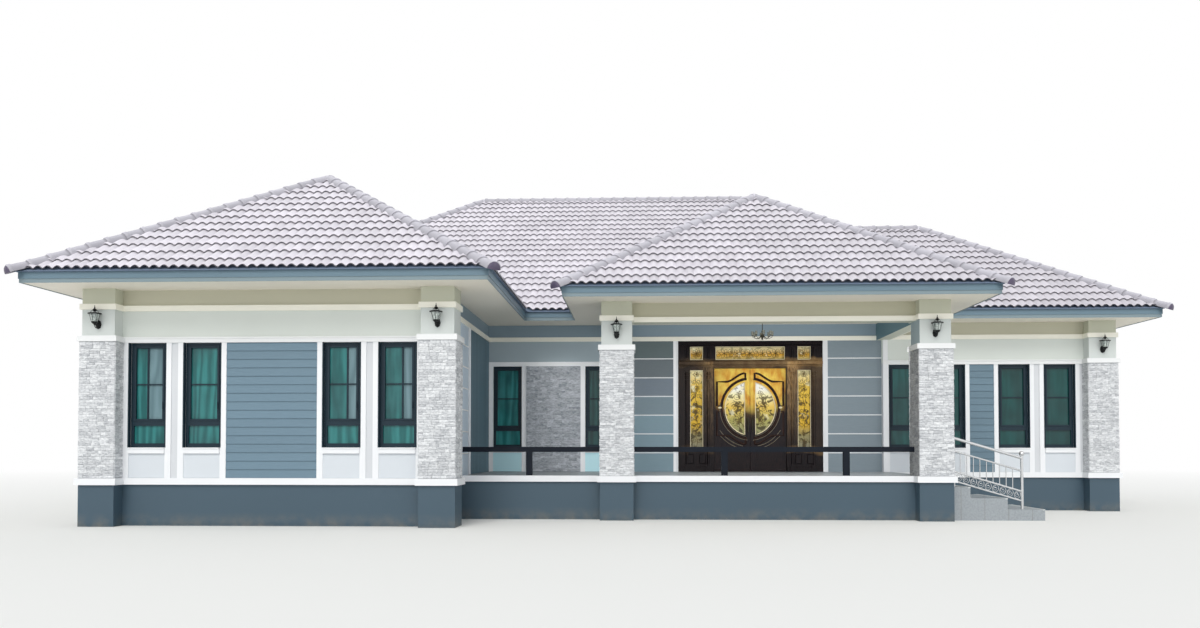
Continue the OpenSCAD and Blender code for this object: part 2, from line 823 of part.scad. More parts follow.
// sloping handrail of round bars beside the steps
module stair_rail() {
    post_x = rail_x0 + 95;
    color("#c9cdd0") difference() {
        union() {
            for (d = [[0, 24, rail_x0 - 40], [220, 15, rail_x0 - 40], [570, 15, post_x], [735, 15, post_x]])
                bar([d[2], rail_y, rail_z(d[2], d[0])], [rail_x1, rail_y, rail_z(rail_x1, d[0])], d[1]);
            translate([post_x, rail_y, floor_z - step_h])
                cylinder(r = 20, h = rail_z(post_x, 0) - floor_z + step_h, $fn = 24);
            translate([rail_x1, rail_y, step_h])
                cylinder(r = 24, h = rail_z(rail_x1, 0) + 40 - step_h, $fn = 24);
            translate([rail_x1, rail_y, rail_z(rail_x1, 0) + 75]) rotate([90, 0, 30])
                sphere(r = 45, $fn = 24);
            for (x = [post_x + 110 : 110 : rail_x1 - 60])
                translate([x, rail_y, rail_z(x, 570)]) cylinder(r = 8, h = 350, $fn = 12);
        }
        post_box(portico_posts[1], col_w, 0, 3000);
    }
}

// flat black rail and posts along the front of the porch
module porch_rail() {
    y0 = portico_y + 20;
    post0 = portico_posts[0][0] - col_w / 2;
    post1 = portico_posts[0][0] + col_w / 2;
    rail_z0 = floor_z + 410;
    end = portico_posts[1][0] - col_w / 2;
    color("#1c1f22") {
        box(inner_x + 12, post0, y0, y0 + 50, rail_z0, rail_z0 + 90);
        box(post1, end, y0, y0 + 50, rail_z0, rail_z0 + 90);
        for (x = [inner_x + 1130, portico_mid - 895, portico_mid + 1195])
            box(x, x + 110, y0 - 10, y0 + 60, floor_z, rail_z0);
    }
}

// wall lantern with its plate on the face y 0, looking towards -Y
module lantern() {
    y = -112;
    translate([-36, -12, -240]) cube([72, 12, 210]);
    translate([0, y, 10]) cylinder(r = 100, h = 14, $fn = 24);
    translate([0, y, 24]) cylinder(r1 = 88, r2 = 22, h = 46, $fn = 24);
    translate([0, y, 70]) cylinder(r = 9, h = 30, $fn = 16);
    translate([0, y, 108]) sphere(r = 20, $fn = 16);
    translate([0, y, 124]) cylinder(r1 = 8, r2 = 2, h = 36, $fn = 16);
    translate([0, y, -110]) cylinder(r1 = 44, r2 = 74, h = 120, $fn = 24);
    translate([0, y, -138]) cylinder(r1 = 18, r2 = 46, h = 28, $fn = 24);
    bar([0, y, -128], [0, -70, -205], 10);
    bar([0, -70, -205], [0, -6, -190], 10);
    translate([-12, -82, -217]) cube([24, 24, 24]);
}

module wall_lanterns() {
    zl = mould_lo_z + 412;
    inset = (col_w - col_up_w) / 2;
    color("#16181a") {
        for (c = [corners[0], corners[1], corners[2]])
            translate([c[0] + c[2] * (col_out - col_w / 2), c[1] - col_out + inset, zl]) lantern();
        for (p = portico_posts) translate([p[0], p[1] - col_up_w / 2, zl]) lantern();
    }
}

// hanging lamp under the portico ceiling
module porch_lamp() {
    zb = soffit_z - 430;
    translate([portico_mid, (portico_y + door_y) / 2 - 30, 0]) color("#c9a24a") {
        translate([0, 0, soffit_z - 30]) cylinder(r = 90, h = 30, $fn = 32);
        translate([0, 0, zb + 90]) cylinder(r = 12, h = 310, $fn = 16);
        translate([0, 0, zb]) cylinder(r1 = 230, r2 = 60, h = 90, $fn = 32);
        translate([0, 0, zb - 100]) cylinder(r1 = 110, r2 = 230, h = 100, $fn = 32);
    }
}

plinth();
floor_slab();
porch_floor();
plinth_band();
steps();
front_wall();
left_wall();
wing_inner_wall();
porch_wall();
door_head();
door_wall_right();
right_front_wall();
right_walls();
rear_wall();
columns();
portico_beams();
mouldings();
ceiling_slab();
soffit();
fascia();
main_roof();
left_roof();
portico_roof();
right_roof();
ridge_caps();
wall_trims();
siding_panels();
striped_panels();
stone_panel();
window_frames();
side_frames();
front_glass();
side_glass();
door_frame();
door_glass();
door_leaf_left();
leaf_glass_left();
handle_left();
door_leaf_right();
leaf_glass_right();
handle_right();
porch_rail();
stair_rail();
wall_lanterns();
porch_lamp();
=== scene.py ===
import json
import logging
import math
import random
from dataclasses import dataclass, field
from enum import Enum

import bmesh
import bpy
from mathutils import Matrix, Vector

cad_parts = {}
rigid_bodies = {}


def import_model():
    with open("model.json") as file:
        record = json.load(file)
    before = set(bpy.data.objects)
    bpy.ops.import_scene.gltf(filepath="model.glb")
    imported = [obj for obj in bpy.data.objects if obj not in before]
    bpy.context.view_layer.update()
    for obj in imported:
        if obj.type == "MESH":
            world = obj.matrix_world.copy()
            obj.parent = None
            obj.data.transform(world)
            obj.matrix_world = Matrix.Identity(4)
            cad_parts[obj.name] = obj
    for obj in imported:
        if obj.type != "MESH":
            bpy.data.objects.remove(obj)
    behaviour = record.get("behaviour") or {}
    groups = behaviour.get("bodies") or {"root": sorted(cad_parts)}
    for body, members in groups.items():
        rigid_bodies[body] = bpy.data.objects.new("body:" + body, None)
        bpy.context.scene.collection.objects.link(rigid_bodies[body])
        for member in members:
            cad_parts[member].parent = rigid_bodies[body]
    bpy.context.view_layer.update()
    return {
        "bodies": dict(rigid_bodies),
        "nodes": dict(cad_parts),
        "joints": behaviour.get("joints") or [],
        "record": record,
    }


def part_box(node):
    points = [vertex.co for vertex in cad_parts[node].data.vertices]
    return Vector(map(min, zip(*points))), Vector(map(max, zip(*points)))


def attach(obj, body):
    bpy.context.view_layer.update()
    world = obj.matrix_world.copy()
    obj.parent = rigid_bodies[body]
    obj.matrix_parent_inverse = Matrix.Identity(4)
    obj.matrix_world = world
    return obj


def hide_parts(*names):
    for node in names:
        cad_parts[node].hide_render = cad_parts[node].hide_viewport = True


log = logging.getLogger("bungalow")
Pair = tuple[float, float]
Point = tuple[float, float, float]
Colour = tuple[int, int, int]
Patch = tuple[Point, Point, Colour]
Face = tuple[int, ...]

HOUSE = "house"
FRONT_Y, PORCH_Y, RIGHT_Y, BACK_Y, REAR_Y = -6.93, -2.28, -2.4, 3.18, 6.93  # outer faces of the walls
WEST_X, WING_X, MAIN_X, EAST_X = -8.86, -3.4, 6.9, 8.86
DOOR_X = 1.96
BAND_Z = 0.762  # top of the white plinth band, where boards and trims start
LOW_MOULD_Z, HIGH_MOULD_Z = 2.92, 3.425  # undersides of the two mouldings
FIELD_TOP = 2.918  # top of the boards and stones under the lower moulding
PIER_W = 0.575
BOARD = 0.135
BATTEN_Z = (1.145, 1.53, 1.912, 2.296, 2.677, 3.065)


class Side(Enum):
    """Which leaf of the double door a piece belongs to."""

    LEFT = -1
    RIGHT = 1

    @property
    def body(self) -> str:
        """Name of the moving body of this leaf."""
        return f"door_leaf_{self.name.lower()}"


def linear(rgb: Colour) -> tuple[float, float, float, float]:
    """Turn a display colour of 0 to 255 into the linear colour that shaders use."""
    out = [(c / 255 / 12.92) if c <= 10 else ((c / 255 + 0.055) / 1.055) ** 2.4 for c in rgb]
    return (out[0], out[1], out[2], 1.0)


class NodeSheet:
    """A small hand for laying out the shader nodes of one material."""

    def __init__(self, name: str) -> None:
        """Start a material with one principled shader and the piece's own coordinates."""
        self.material = bpy.data.materials.new(name)
        self.material.use_nodes = True
        self.tree = self.material.node_tree
        self.shader = self.tree.nodes["Principled BSDF"]
        self.coords = self.add("ShaderNodeTexCoord").outputs["Object"]

    def add(self, kind: str, **values: object) -> bpy.types.Node:
        """Add one node of a class and set its properties."""
        node = self.tree.nodes.new(kind)
        for key, value in values.items():
            setattr(node, key, value)
        return node

    def feed(self, source: object, target: bpy.types.NodeSocket) -> None:
        """Link a socket to a target, or set a number or a display colour on it."""
        if isinstance(source, bpy.types.NodeSocket):
            self.tree.links.new(source, target)
        else:
            target.default_value = linear(source) if isinstance(source, tuple) else source

    def noise(self, scale: float, detail: float = 3.0, stretch: Point = (1, 1, 1)) -> bpy.types.NodeSocket:
        """Noise on the piece's own coordinates.

        Args:
            scale: features per metre.
            detail: octaves of finer noise.
            stretch: factor on each axis.
        Returns:
            The value output.
        """
        mapping = self.add("ShaderNodeMapping")
        mapping.inputs["Scale"].default_value = stretch
        self.feed(self.coords, mapping.inputs["Vector"])
        node = self.add("ShaderNodeTexNoise")
        self.feed(mapping.outputs[0], node.inputs["Vector"])
        node.inputs["Scale"].default_value = scale
        node.inputs["Detail"].default_value = detail
        return node.outputs[0]

    def math(self, kind: str, *values: object, clamp: bool = False) -> bpy.types.NodeSocket:
        """One math node on its two or three values."""
        node = self.add("ShaderNodeMath", operation=kind, use_clamp=clamp)
        for value, socket in zip(values, node.inputs):
            self.feed(value, socket)
        return node.outputs[0]

    def plus(self, a: object, b: object, clamp: bool = False) -> bpy.types.NodeSocket:
        """The sum of two values."""
        return self.math("ADD", a, b, clamp=clamp)

    def minus(self, a: object, b: object) -> bpy.types.NodeSocket:
        """The first value less the second."""
        return self.math("SUBTRACT", a, b)

    def times(self, a: object, b: object, clamp: bool = False) -> bpy.types.NodeSocket:
        """The product of two values."""
        return self.math("MULTIPLY", a, b, clamp=clamp)

    def scaled(self, value: object, gain: float, base: float) -> bpy.types.NodeSocket:
        """A value times a gain, plus a base."""
        return self.math("MULTIPLY_ADD", value, gain, base)

    def dimmed(self, share: object, depth: float) -> bpy.types.NodeSocket:
        """A factor that falls from 1 by a depth as the share rises to 1."""
        return self.minus(1.0, self.times(share, depth))

    def axis(self, name: str) -> bpy.types.NodeSocket:
        """One coordinate of the piece, X, Y or Z, in metres."""
        node = self.add("ShaderNodeSeparateXYZ")
        self.feed(self.coords, node.inputs[0])
        return node.outputs[name]

    def stored(self, name: str) -> bpy.types.NodeSocket:
        """A value that the mesh stores under a name."""
        return self.add("ShaderNodeAttribute", attribute_name=name).outputs["Fac"]

    def span(self, source: object, low: float, high: float) -> bpy.types.NodeSocket:
        """A value that goes from 0 at low to 1 at high and stays inside that."""
        node = self.add("ShaderNodeMapRange")
        self.feed(source, node.inputs["Value"])
        node.inputs["From Min"].default_value = low
        node.inputs["From Max"].default_value = high
        return node.outputs["Result"]

    def between(self, source: object, low: float, high: float) -> bpy.types.NodeSocket:
        """1 where a value lies between low and high, and 0 elsewhere."""
        return self.times(self.math("GREATER_THAN", source, low), self.math("LESS_THAN", source, high))

    def inside(self, low: Point, high: Point) -> bpy.types.NodeSocket:
        """1 within a box of the piece's coordinates and 0 outside it."""
        share: object = 1.0
        for name, least, most in zip("XYZ", low, high):
            share = self.times(share, self.between(self.axis(name), least, most))
        return share

    def blend(self, share: object, a: object, b: object) -> bpy.types.NodeSocket:
        """Colour a at share 0 and colour b at share 1."""
        node = self.add("ShaderNodeMix", data_type="RGBA")
        for source, place_in in ((share, 0), (a, 6), (b, 7)):
            self.feed(source, node.inputs[place_in])
        return node.outputs[2]

    def patched(self, colour: object, patches: tuple[Patch, ...]) -> object:
        """A colour with each patch laid over it in its own box."""
        for low, high, rgb in patches:
            colour = self.blend(self.inside(low, high), colour, rgb)
        return colour

    def tone(self, colour: object, factor: object) -> bpy.types.NodeSocket:
        """A colour made lighter or darker by a factor."""
        node = self.add("ShaderNodeHueSaturation")
        self.feed(factor, node.inputs["Value"])
        self.feed(colour, node.inputs["Color"])
        return node.outputs[0]

    def finish(self, colour: object, roughness: object, height: object = None, depth: float = 0.002,
               metallic: float = 0.0, coat: float = 0.0, specular: float = 0.5) -> bpy.types.Material:
        """Connect colour, roughness and relief to the shader.

        Args:
            colour: colour or socket for the base colour.
            roughness: number or socket for the roughness.
            height: socket with the relief, or None.
            depth: depth of the relief in metres.
            metallic: 0 for paint or stone, 1 for metal.
            coat: share of a clear top coat.
            specular: level of the plain reflection.
        Returns:
            The finished material.
        """
        inputs = {"Base Color": colour, "Roughness": roughness, "Metallic": metallic, "Coat Weight": coat,
                  "Coat Roughness": 0.12, "Specular IOR Level": specular}
        for label, value in inputs.items():
            self.feed(value, self.shader.inputs[label])
        if height is not None:
            bump = self.add("ShaderNodeBump")
            bump.inputs["Strength"].default_value = 0.7
            bump.inputs["Distance"].default_value = depth
            self.feed(height, bump.inputs["Height"])
            self.feed(bump.outputs[0], self.shader.inputs["Normal"])
        return self.material


@dataclass(frozen=True)
class Paint:
    """Rolled or brushed paint with faint mottling and an orange-peel relief."""

    name: str
    rgb: Colour
    roughness: float = 0.62
    mottle: float = 0.05
    relief: float = 0.0012
    specular: float = 0.4

    def make(self) -> bpy.types.Material:
        """Build the paint."""
        s = NodeSheet(self.name)
        factor = s.scaled(s.span(s.noise(0.9, 4), 0.3, 0.7), self.mottle, 1 - self.mottle / 2)
        fine = s.noise(55)
        rough = s.scaled(fine, 0.16, self.roughness - 0.08)
        return s.finish(s.tone(self.rgb, factor), rough, fine, self.relief, specular=self.specular)


@dataclass(frozen=True)
class BandedPaint:
    """Wall paint in level zones, as the masonry is painted between its mouldings."""

    name: str
    zones: tuple[tuple[float, Colour], ...]
    roughness: float = 0.66
    relief: float = 0.0016
    dirt_top: float = 0.0
    patches: tuple[Patch, ...] = ()

    def make(self) -> bpy.types.Material:
        """Build the zones from the ground up, then the patches, mostly painted light and shade by place, and
        the dirt splashed on the foot.
        """
        s = NodeSheet(self.name)
        z = s.axis("Z")
        colour: object = self.zones[0][1]
        for start, rgb in self.zones[1:]:
            colour = s.blend(s.math("GREATER_THAN", z, start), colour, rgb)
        cloud = s.span(s.noise(0.8, 5), 0.3, 0.7)
        colour = s.tone(s.patched(colour, self.patches), s.scaled(cloud, 0.05, 0.975))
        if self.dirt_top:
            splash = s.times(s.span(z, self.dirt_top, 0.0), s.span(s.noise(6, 5), 0.35, 0.75))
            colour = s.blend(s.times(splash, 0.45), colour, (132, 124, 108))
        return s.finish(colour, self.roughness, s.noise(70, 4), self.relief)


@dataclass(frozen=True)
class Glaze:
    """Pigmented concrete of roof tiles and caps, toned piece by piece."""

    name: str
    rgb: Colour
    spread: float = 0.16
    roughness: float = 0.42
    depth: float = 0.6
    fall: float = 0.0

    def make(self) -> bpy.types.Material:
        """Build the tile finish: tint and shade per tile, painted shade that makes it greyer to the right by
        its fall, rain marks.
        """
        s = NodeSheet(self.name)
        tone = s.scaled(s.stored("tint"), self.spread, 1 - self.spread * 0.62)
        tone = s.times(tone, s.span(s.span(s.noise(0.7, 5), 0.3, 0.7), -12.0, 1.0))
        tone = s.times(tone, s.dimmed(s.stored("shade"), self.depth))
        # painted shade: the tiles grow greyer to the right, where the roof lies in greyer light
        if self.fall:
            tone = s.times(tone, s.dimmed(s.span(s.axis("X"), -2.5, 9.0), self.fall))
        stain = s.times(s.span(s.noise(9, 6), 0.56, 0.86), 0.22)
        colour = s.blend(stain, s.tone(self.rgb, tone), (150, 147, 156))
        grit = s.noise(160, 4)
        return s.finish(colour, s.scaled(grit, 0.2, self.roughness - 0.1), grit, 0.0016, specular=0.4)


@dataclass(frozen=True)
class SplitStone:
    """Split ledge stone, toned stone by stone, with a rough broken face."""

    name: str
    light: Colour
    dark: Colour
    shaded_side: tuple[Point, Point] | None = None

    def make(self) -> bpy.types.Material:
        """Build the stone, with painted shade that darkens it inside the given box."""
        s = NodeSheet(self.name)
        vein = s.noise(20, 6, (1, 1, 3.2))
        share = s.plus(s.times(s.stored("tint"), 0.5), s.times(s.span(vein, 0.38, 0.62), 0.5))
        colour = s.blend(share, self.dark, self.light)
        # painted shade: stones inside the box are darker, as on a side in the porch's shade
        if self.shaded_side:
            colour = s.tone(colour, s.dimmed(s.inside(*self.shaded_side), 0.42))
        height = s.plus(vein, s.times(s.noise(120, 5), 0.35))
        return s.finish(colour, 0.86, height, 0.012, specular=0.25)


@dataclass(frozen=True)
class BoardPaint:
    """Fibre-cement boards with a pressed wood grain."""

    name: str
    rgb: Colour
    along: Point = (1, 1, 14)
    vary: float = 0.07
    patches: tuple[Patch, ...] = ()
    lap_shadow: float = 0.0
    lap_axis: str = "Z"
    lap_from: float = BAND_Z

    def make(self) -> bpy.types.Material:
        """Build the painted board, with a painted shadow line under each board's lip when a lap depth is
        given.
        """
        s = NodeSheet(self.name)
        grain = s.noise(9, 6, self.along)
        share = s.plus(s.times(s.stored("tint"), self.vary), s.times(s.span(grain, 0.3, 0.7), 0.07))
        factor = s.plus(share, 0.965 - self.vary / 2)
        if self.lap_shadow:
            # painted shadow: a dark band at the end of each course, under the edge of the next board
            course = s.math("FRACT", s.times(s.minus(s.axis(self.lap_axis), self.lap_from), 1 / BOARD))
            factor = s.minus(factor, s.times(s.span(course, 0.86, 0.94), self.lap_shadow))
        return s.finish(s.tone(s.patched(self.rgb, self.patches), factor), 0.55, grain, 0.003)


@dataclass(frozen=True)
class LacqueredWood:
    """Dark carved hardwood under lacquer, with a golden sheen at the heights where light catches it: mostly
    painted light, partly the lacquer's patina.

    Args:
        zones: heights with the share of painted sheen at each.
        deep, warm: dark colours across the grain.
        gold: golden colours of the painted sheen, across the grain.
        lean: how much the painted sheen grows to the right of the door's middle.
        strips: stretches of X with more painted sheen, or less, by the gain.
        rise: heights between which the strips come in.
        fade: how much the outer edges lose their gold, as painted shade.
    """

    name: str
    zones: tuple[Pair, ...]
    deep: Colour = (13, 11, 18)
    warm: Colour = (38, 25, 25)
    gold: tuple[Colour, Colour] = ((212, 132, 14), (255, 216, 98))
    lean: float = 0.06
    strips: tuple[Pair, ...] = ()
    gain: float = 0.5
    rise: Pair = (-1.0, 0.0)
    fade: float = 0.0

    def make(self) -> bpy.types.Material:
        """Build the wood from its dark, its painted golden sheen and the share of sheen at each place."""
        s = NodeSheet(self.name)
        grain = s.noise(16, 7, (5, 5, 0.6))
        dark = s.blend(s.span(grain, 0.35, 0.7), self.deep, self.warm)
        cloud = s.span(s.noise(7, 2, (1, 1, 0.7)), 0.38, 0.62)
        glow = s.plus(s.times(s.span(grain, 0.2, 0.8), 0.5), s.times(cloud, 0.5))
        z = s.plus(s.axis("Z"), s.scaled(s.noise(2.2), 0.3, -0.15))
        level: object = self.zones[0][1]
        for (low, a), (high, b) in zip(self.zones, self.zones[1:]):
            level = s.plus(level, s.times(s.span(z, low, high), b - a))
        x = s.axis("X")
        for low, high in self.strips:
            strip = s.inside((min(low, high), -9.0, 1.3), (max(low, high), 9.0, 3.0))
            for share in (s.span(z, *self.rise), s.span(x, low, high), s.span(grain, 0.25, 0.65)):
                strip = s.times(strip, share)
            level = s.plus(level, s.times(strip, self.gain))
        off = s.minus(x, DOOR_X)
        level = s.times(level, s.plus(s.times(off, self.lean), 1.0), clamp=True)
        if self.fade:
            outer = s.times(s.span(s.math("ABSOLUTE", off), 0.63, 0.72), s.span(z, 2.75, 2.35))
            level = s.times(level, s.dimmed(outer, self.fade))
        colour = s.blend(level, dark, s.blend(glow, *self.gold))
        height = s.plus(grain, s.times(s.noise(90, 4, (4, 4, 0.4)), 0.4))
        return s.finish(colour, 0.3, height, 0.0008, coat=0.06, specular=0.18)


@dataclass(frozen=True)
class PatternGlass:
    """Yellow obscured glass, pale above and grey below, with a pressed leaf and petal relief and painted
    highlights.
    """

    name: str
    zones: tuple[tuple[float, Colour], ...]

    def make(self) -> bpy.types.Material:
        """Build the glass from its colour at each height, its petals and its painted highlights."""
        s = NodeSheet(self.name)
        z = s.axis("Z")
        colour: object = self.zones[0][1]
        for (low, _), (high, rgb) in zip(self.zones, self.zones[1:]):
            colour = s.blend(s.span(z, low, high), colour, rgb)
        swirl = s.add("ShaderNodeTexNoise")
        s.feed(s.coords, swirl.inputs["Vector"])
        for label, value in (("Scale", 5.2), ("Detail", 1.6), ("Distortion", 2.0)):
            swirl.inputs[label].default_value = value
        petal = s.math("MAXIMUM", s.span(swirl.outputs[0], 0.39, 0.47), s.times(s.span(z, 2.2, 2.6), 0.55))
        # painted highlight: whitish glints over the middle heights of the glass
        painted_glint = s.times(s.span(s.noise(7), 0.57, 0.68), s.span(z, 1.6, 2.1))
        deep = s.blend(0.6, s.tone(colour, 0.3), (70, 56, 4))
        colour = s.blend(s.times(painted_glint, 0.8), s.blend(petal, deep, colour), (255, 248, 206))
        return s.finish(colour, 0.2, swirl.outputs[0], 0.006, coat=0.08, specular=0.3)


@dataclass(frozen=True)
class WindowPane:
    """Dark glass with a teal curtain close behind it, whose soft folds are painted light and shade.

    Args:
        flat: the axis along the pane.
        bare: stretches along it where no curtain hangs.
    """

    name: str
    flat: str = "X"
    bare: tuple[Pair, ...] = ()

    def make(self) -> bpy.types.Material:
        """Build the pane; the porch and the right wing have their own depth of shade."""
        s = NodeSheet(self.name)
        x = s.axis(self.flat)
        wave = s.plus(s.times(x, 46.0), s.times(s.noise(2.6, 3, (1, 1, 0.12)), 34.0))
        # painted light and shade: the folds of the curtain
        fold = s.span(s.math("SINE", wave), -1.4, 1.4)
        # painted shade: the curtains of the right wing deeper and darker
        deep = s.span(x, 2.0, 6.0)
        cloth = s.blend(s.times(deep, 0.62), s.blend(fold, (16, 88, 88), (56, 140, 139)), (2, 112, 108))
        bare: object = 0.0
        for low, high in self.bare:
            bare = s.plus(bare, s.inside((low, -9.0, 1.62), (high, 9.0, 3.0)))
        cloth = s.blend(bare, cloth, s.blend(fold, (88, 116, 124), (116, 146, 154)))
        # painted shade: the dim room behind the glass
        room = s.blend(s.span(s.noise(1.9), 0.38, 0.62), (20, 44, 50), (52, 84, 88))
        drawn = s.times(s.span(s.noise(1.15, 1), 0.40, 0.56), 0.35)
        colour = s.blend(s.plus(drawn, s.plus(bare, 0.5), clamp=True), room, cloth)
        # painted light and shade by place: lighter panes in the porch, darker behind the porch column and in
        # the right wing
        light: object = 1.0
        for share, gain in ((s.between(x, -3.4, -1.5), 0.4), (s.between(x, -1.5, -0.6), -0.6), (deep, -0.56)):
            light = s.plus(light, s.times(share, gain))
        return s.finish(s.tone(colour, light), 0.08, specular=0.3)


@dataclass(frozen=True)
class Metal:
    """Bare or plated metal with a fine directional brush."""

    name: str
    rgb: Colour
    roughness: float = 0.28
    metallic: float = 1.0

    def make(self) -> bpy.types.Material:
        """Build the metal."""
        s = NodeSheet(self.name)
        brush = s.noise(60, 5, (1, 1, 9))
        rough = s.scaled(brush, 0.18, self.roughness - 0.09)
        factor = s.scaled(s.noise(3, 4), 0.14, 0.93)
        return s.finish(s.tone(self.rgb, factor), rough, brush, 0.0003, metallic=self.metallic)


@dataclass(frozen=True)
class FloorTile:
    """Square fired floor tiles with grout lines."""

    name: str
    rgb: Colour
    pitch: float = 0.4

    def make(self) -> bpy.types.Material:
        """Build the tiling from the piece's own coordinates."""
        s = NodeSheet(self.name)
        lines: object = 0.0
        for axis in "XY":
            wave = s.math("FRACT", s.math("DIVIDE", s.plus(s.axis(axis), 40.0), self.pitch))
            near = s.math("MINIMUM", wave, s.minus(1.0, wave))
            lines = s.math("MAXIMUM", lines, s.span(near, 0.012, 0.006))
        fleck = s.noise(34, 6)
        worn = tuple(int(c * 0.9) for c in self.rgb)
        colour = s.blend(lines, s.blend(s.span(fleck, 0.3, 0.7), worn, self.rgb), (128, 128, 124))
        return s.finish(colour, 0.42, s.minus(s.times(fleck, 0.2), lines), 0.0015)


@dataclass(frozen=True)
class LampGlass:
    """Frosted glass of the lanterns and the ceiling lamp."""

    name: str
    rgb: Colour = (226, 226, 214)

    def make(self) -> bpy.types.Material:
        """Build the frosted glass."""
        s = NodeSheet(self.name)
        frost = s.noise(45, 4)
        colour = s.blend(s.span(frost, 0.35, 0.7), self.rgb, (110, 118, 120))
        return s.finish(colour, 0.24, frost, 0.001, coat=0.5)


def stacked(low: Pair, high: Pair, rows: tuple[tuple[float, Colour], ...], top: float) -> tuple[Patch, ...]:
    """Patches one over the other on one upright field.

    Args:
        low: least X and Y of the field.
        high: greatest X and Y of the field.
        rows: foot and colour of each row, from the lowest up.
        top: head of the last row.
    Returns:
        One patch for each row.
    """
    heads = [foot for foot, _ in rows[1:]] + [top]
    return tuple(((*low, foot), (*high, head), rgb) for (foot, rgb), head in zip(rows, heads))


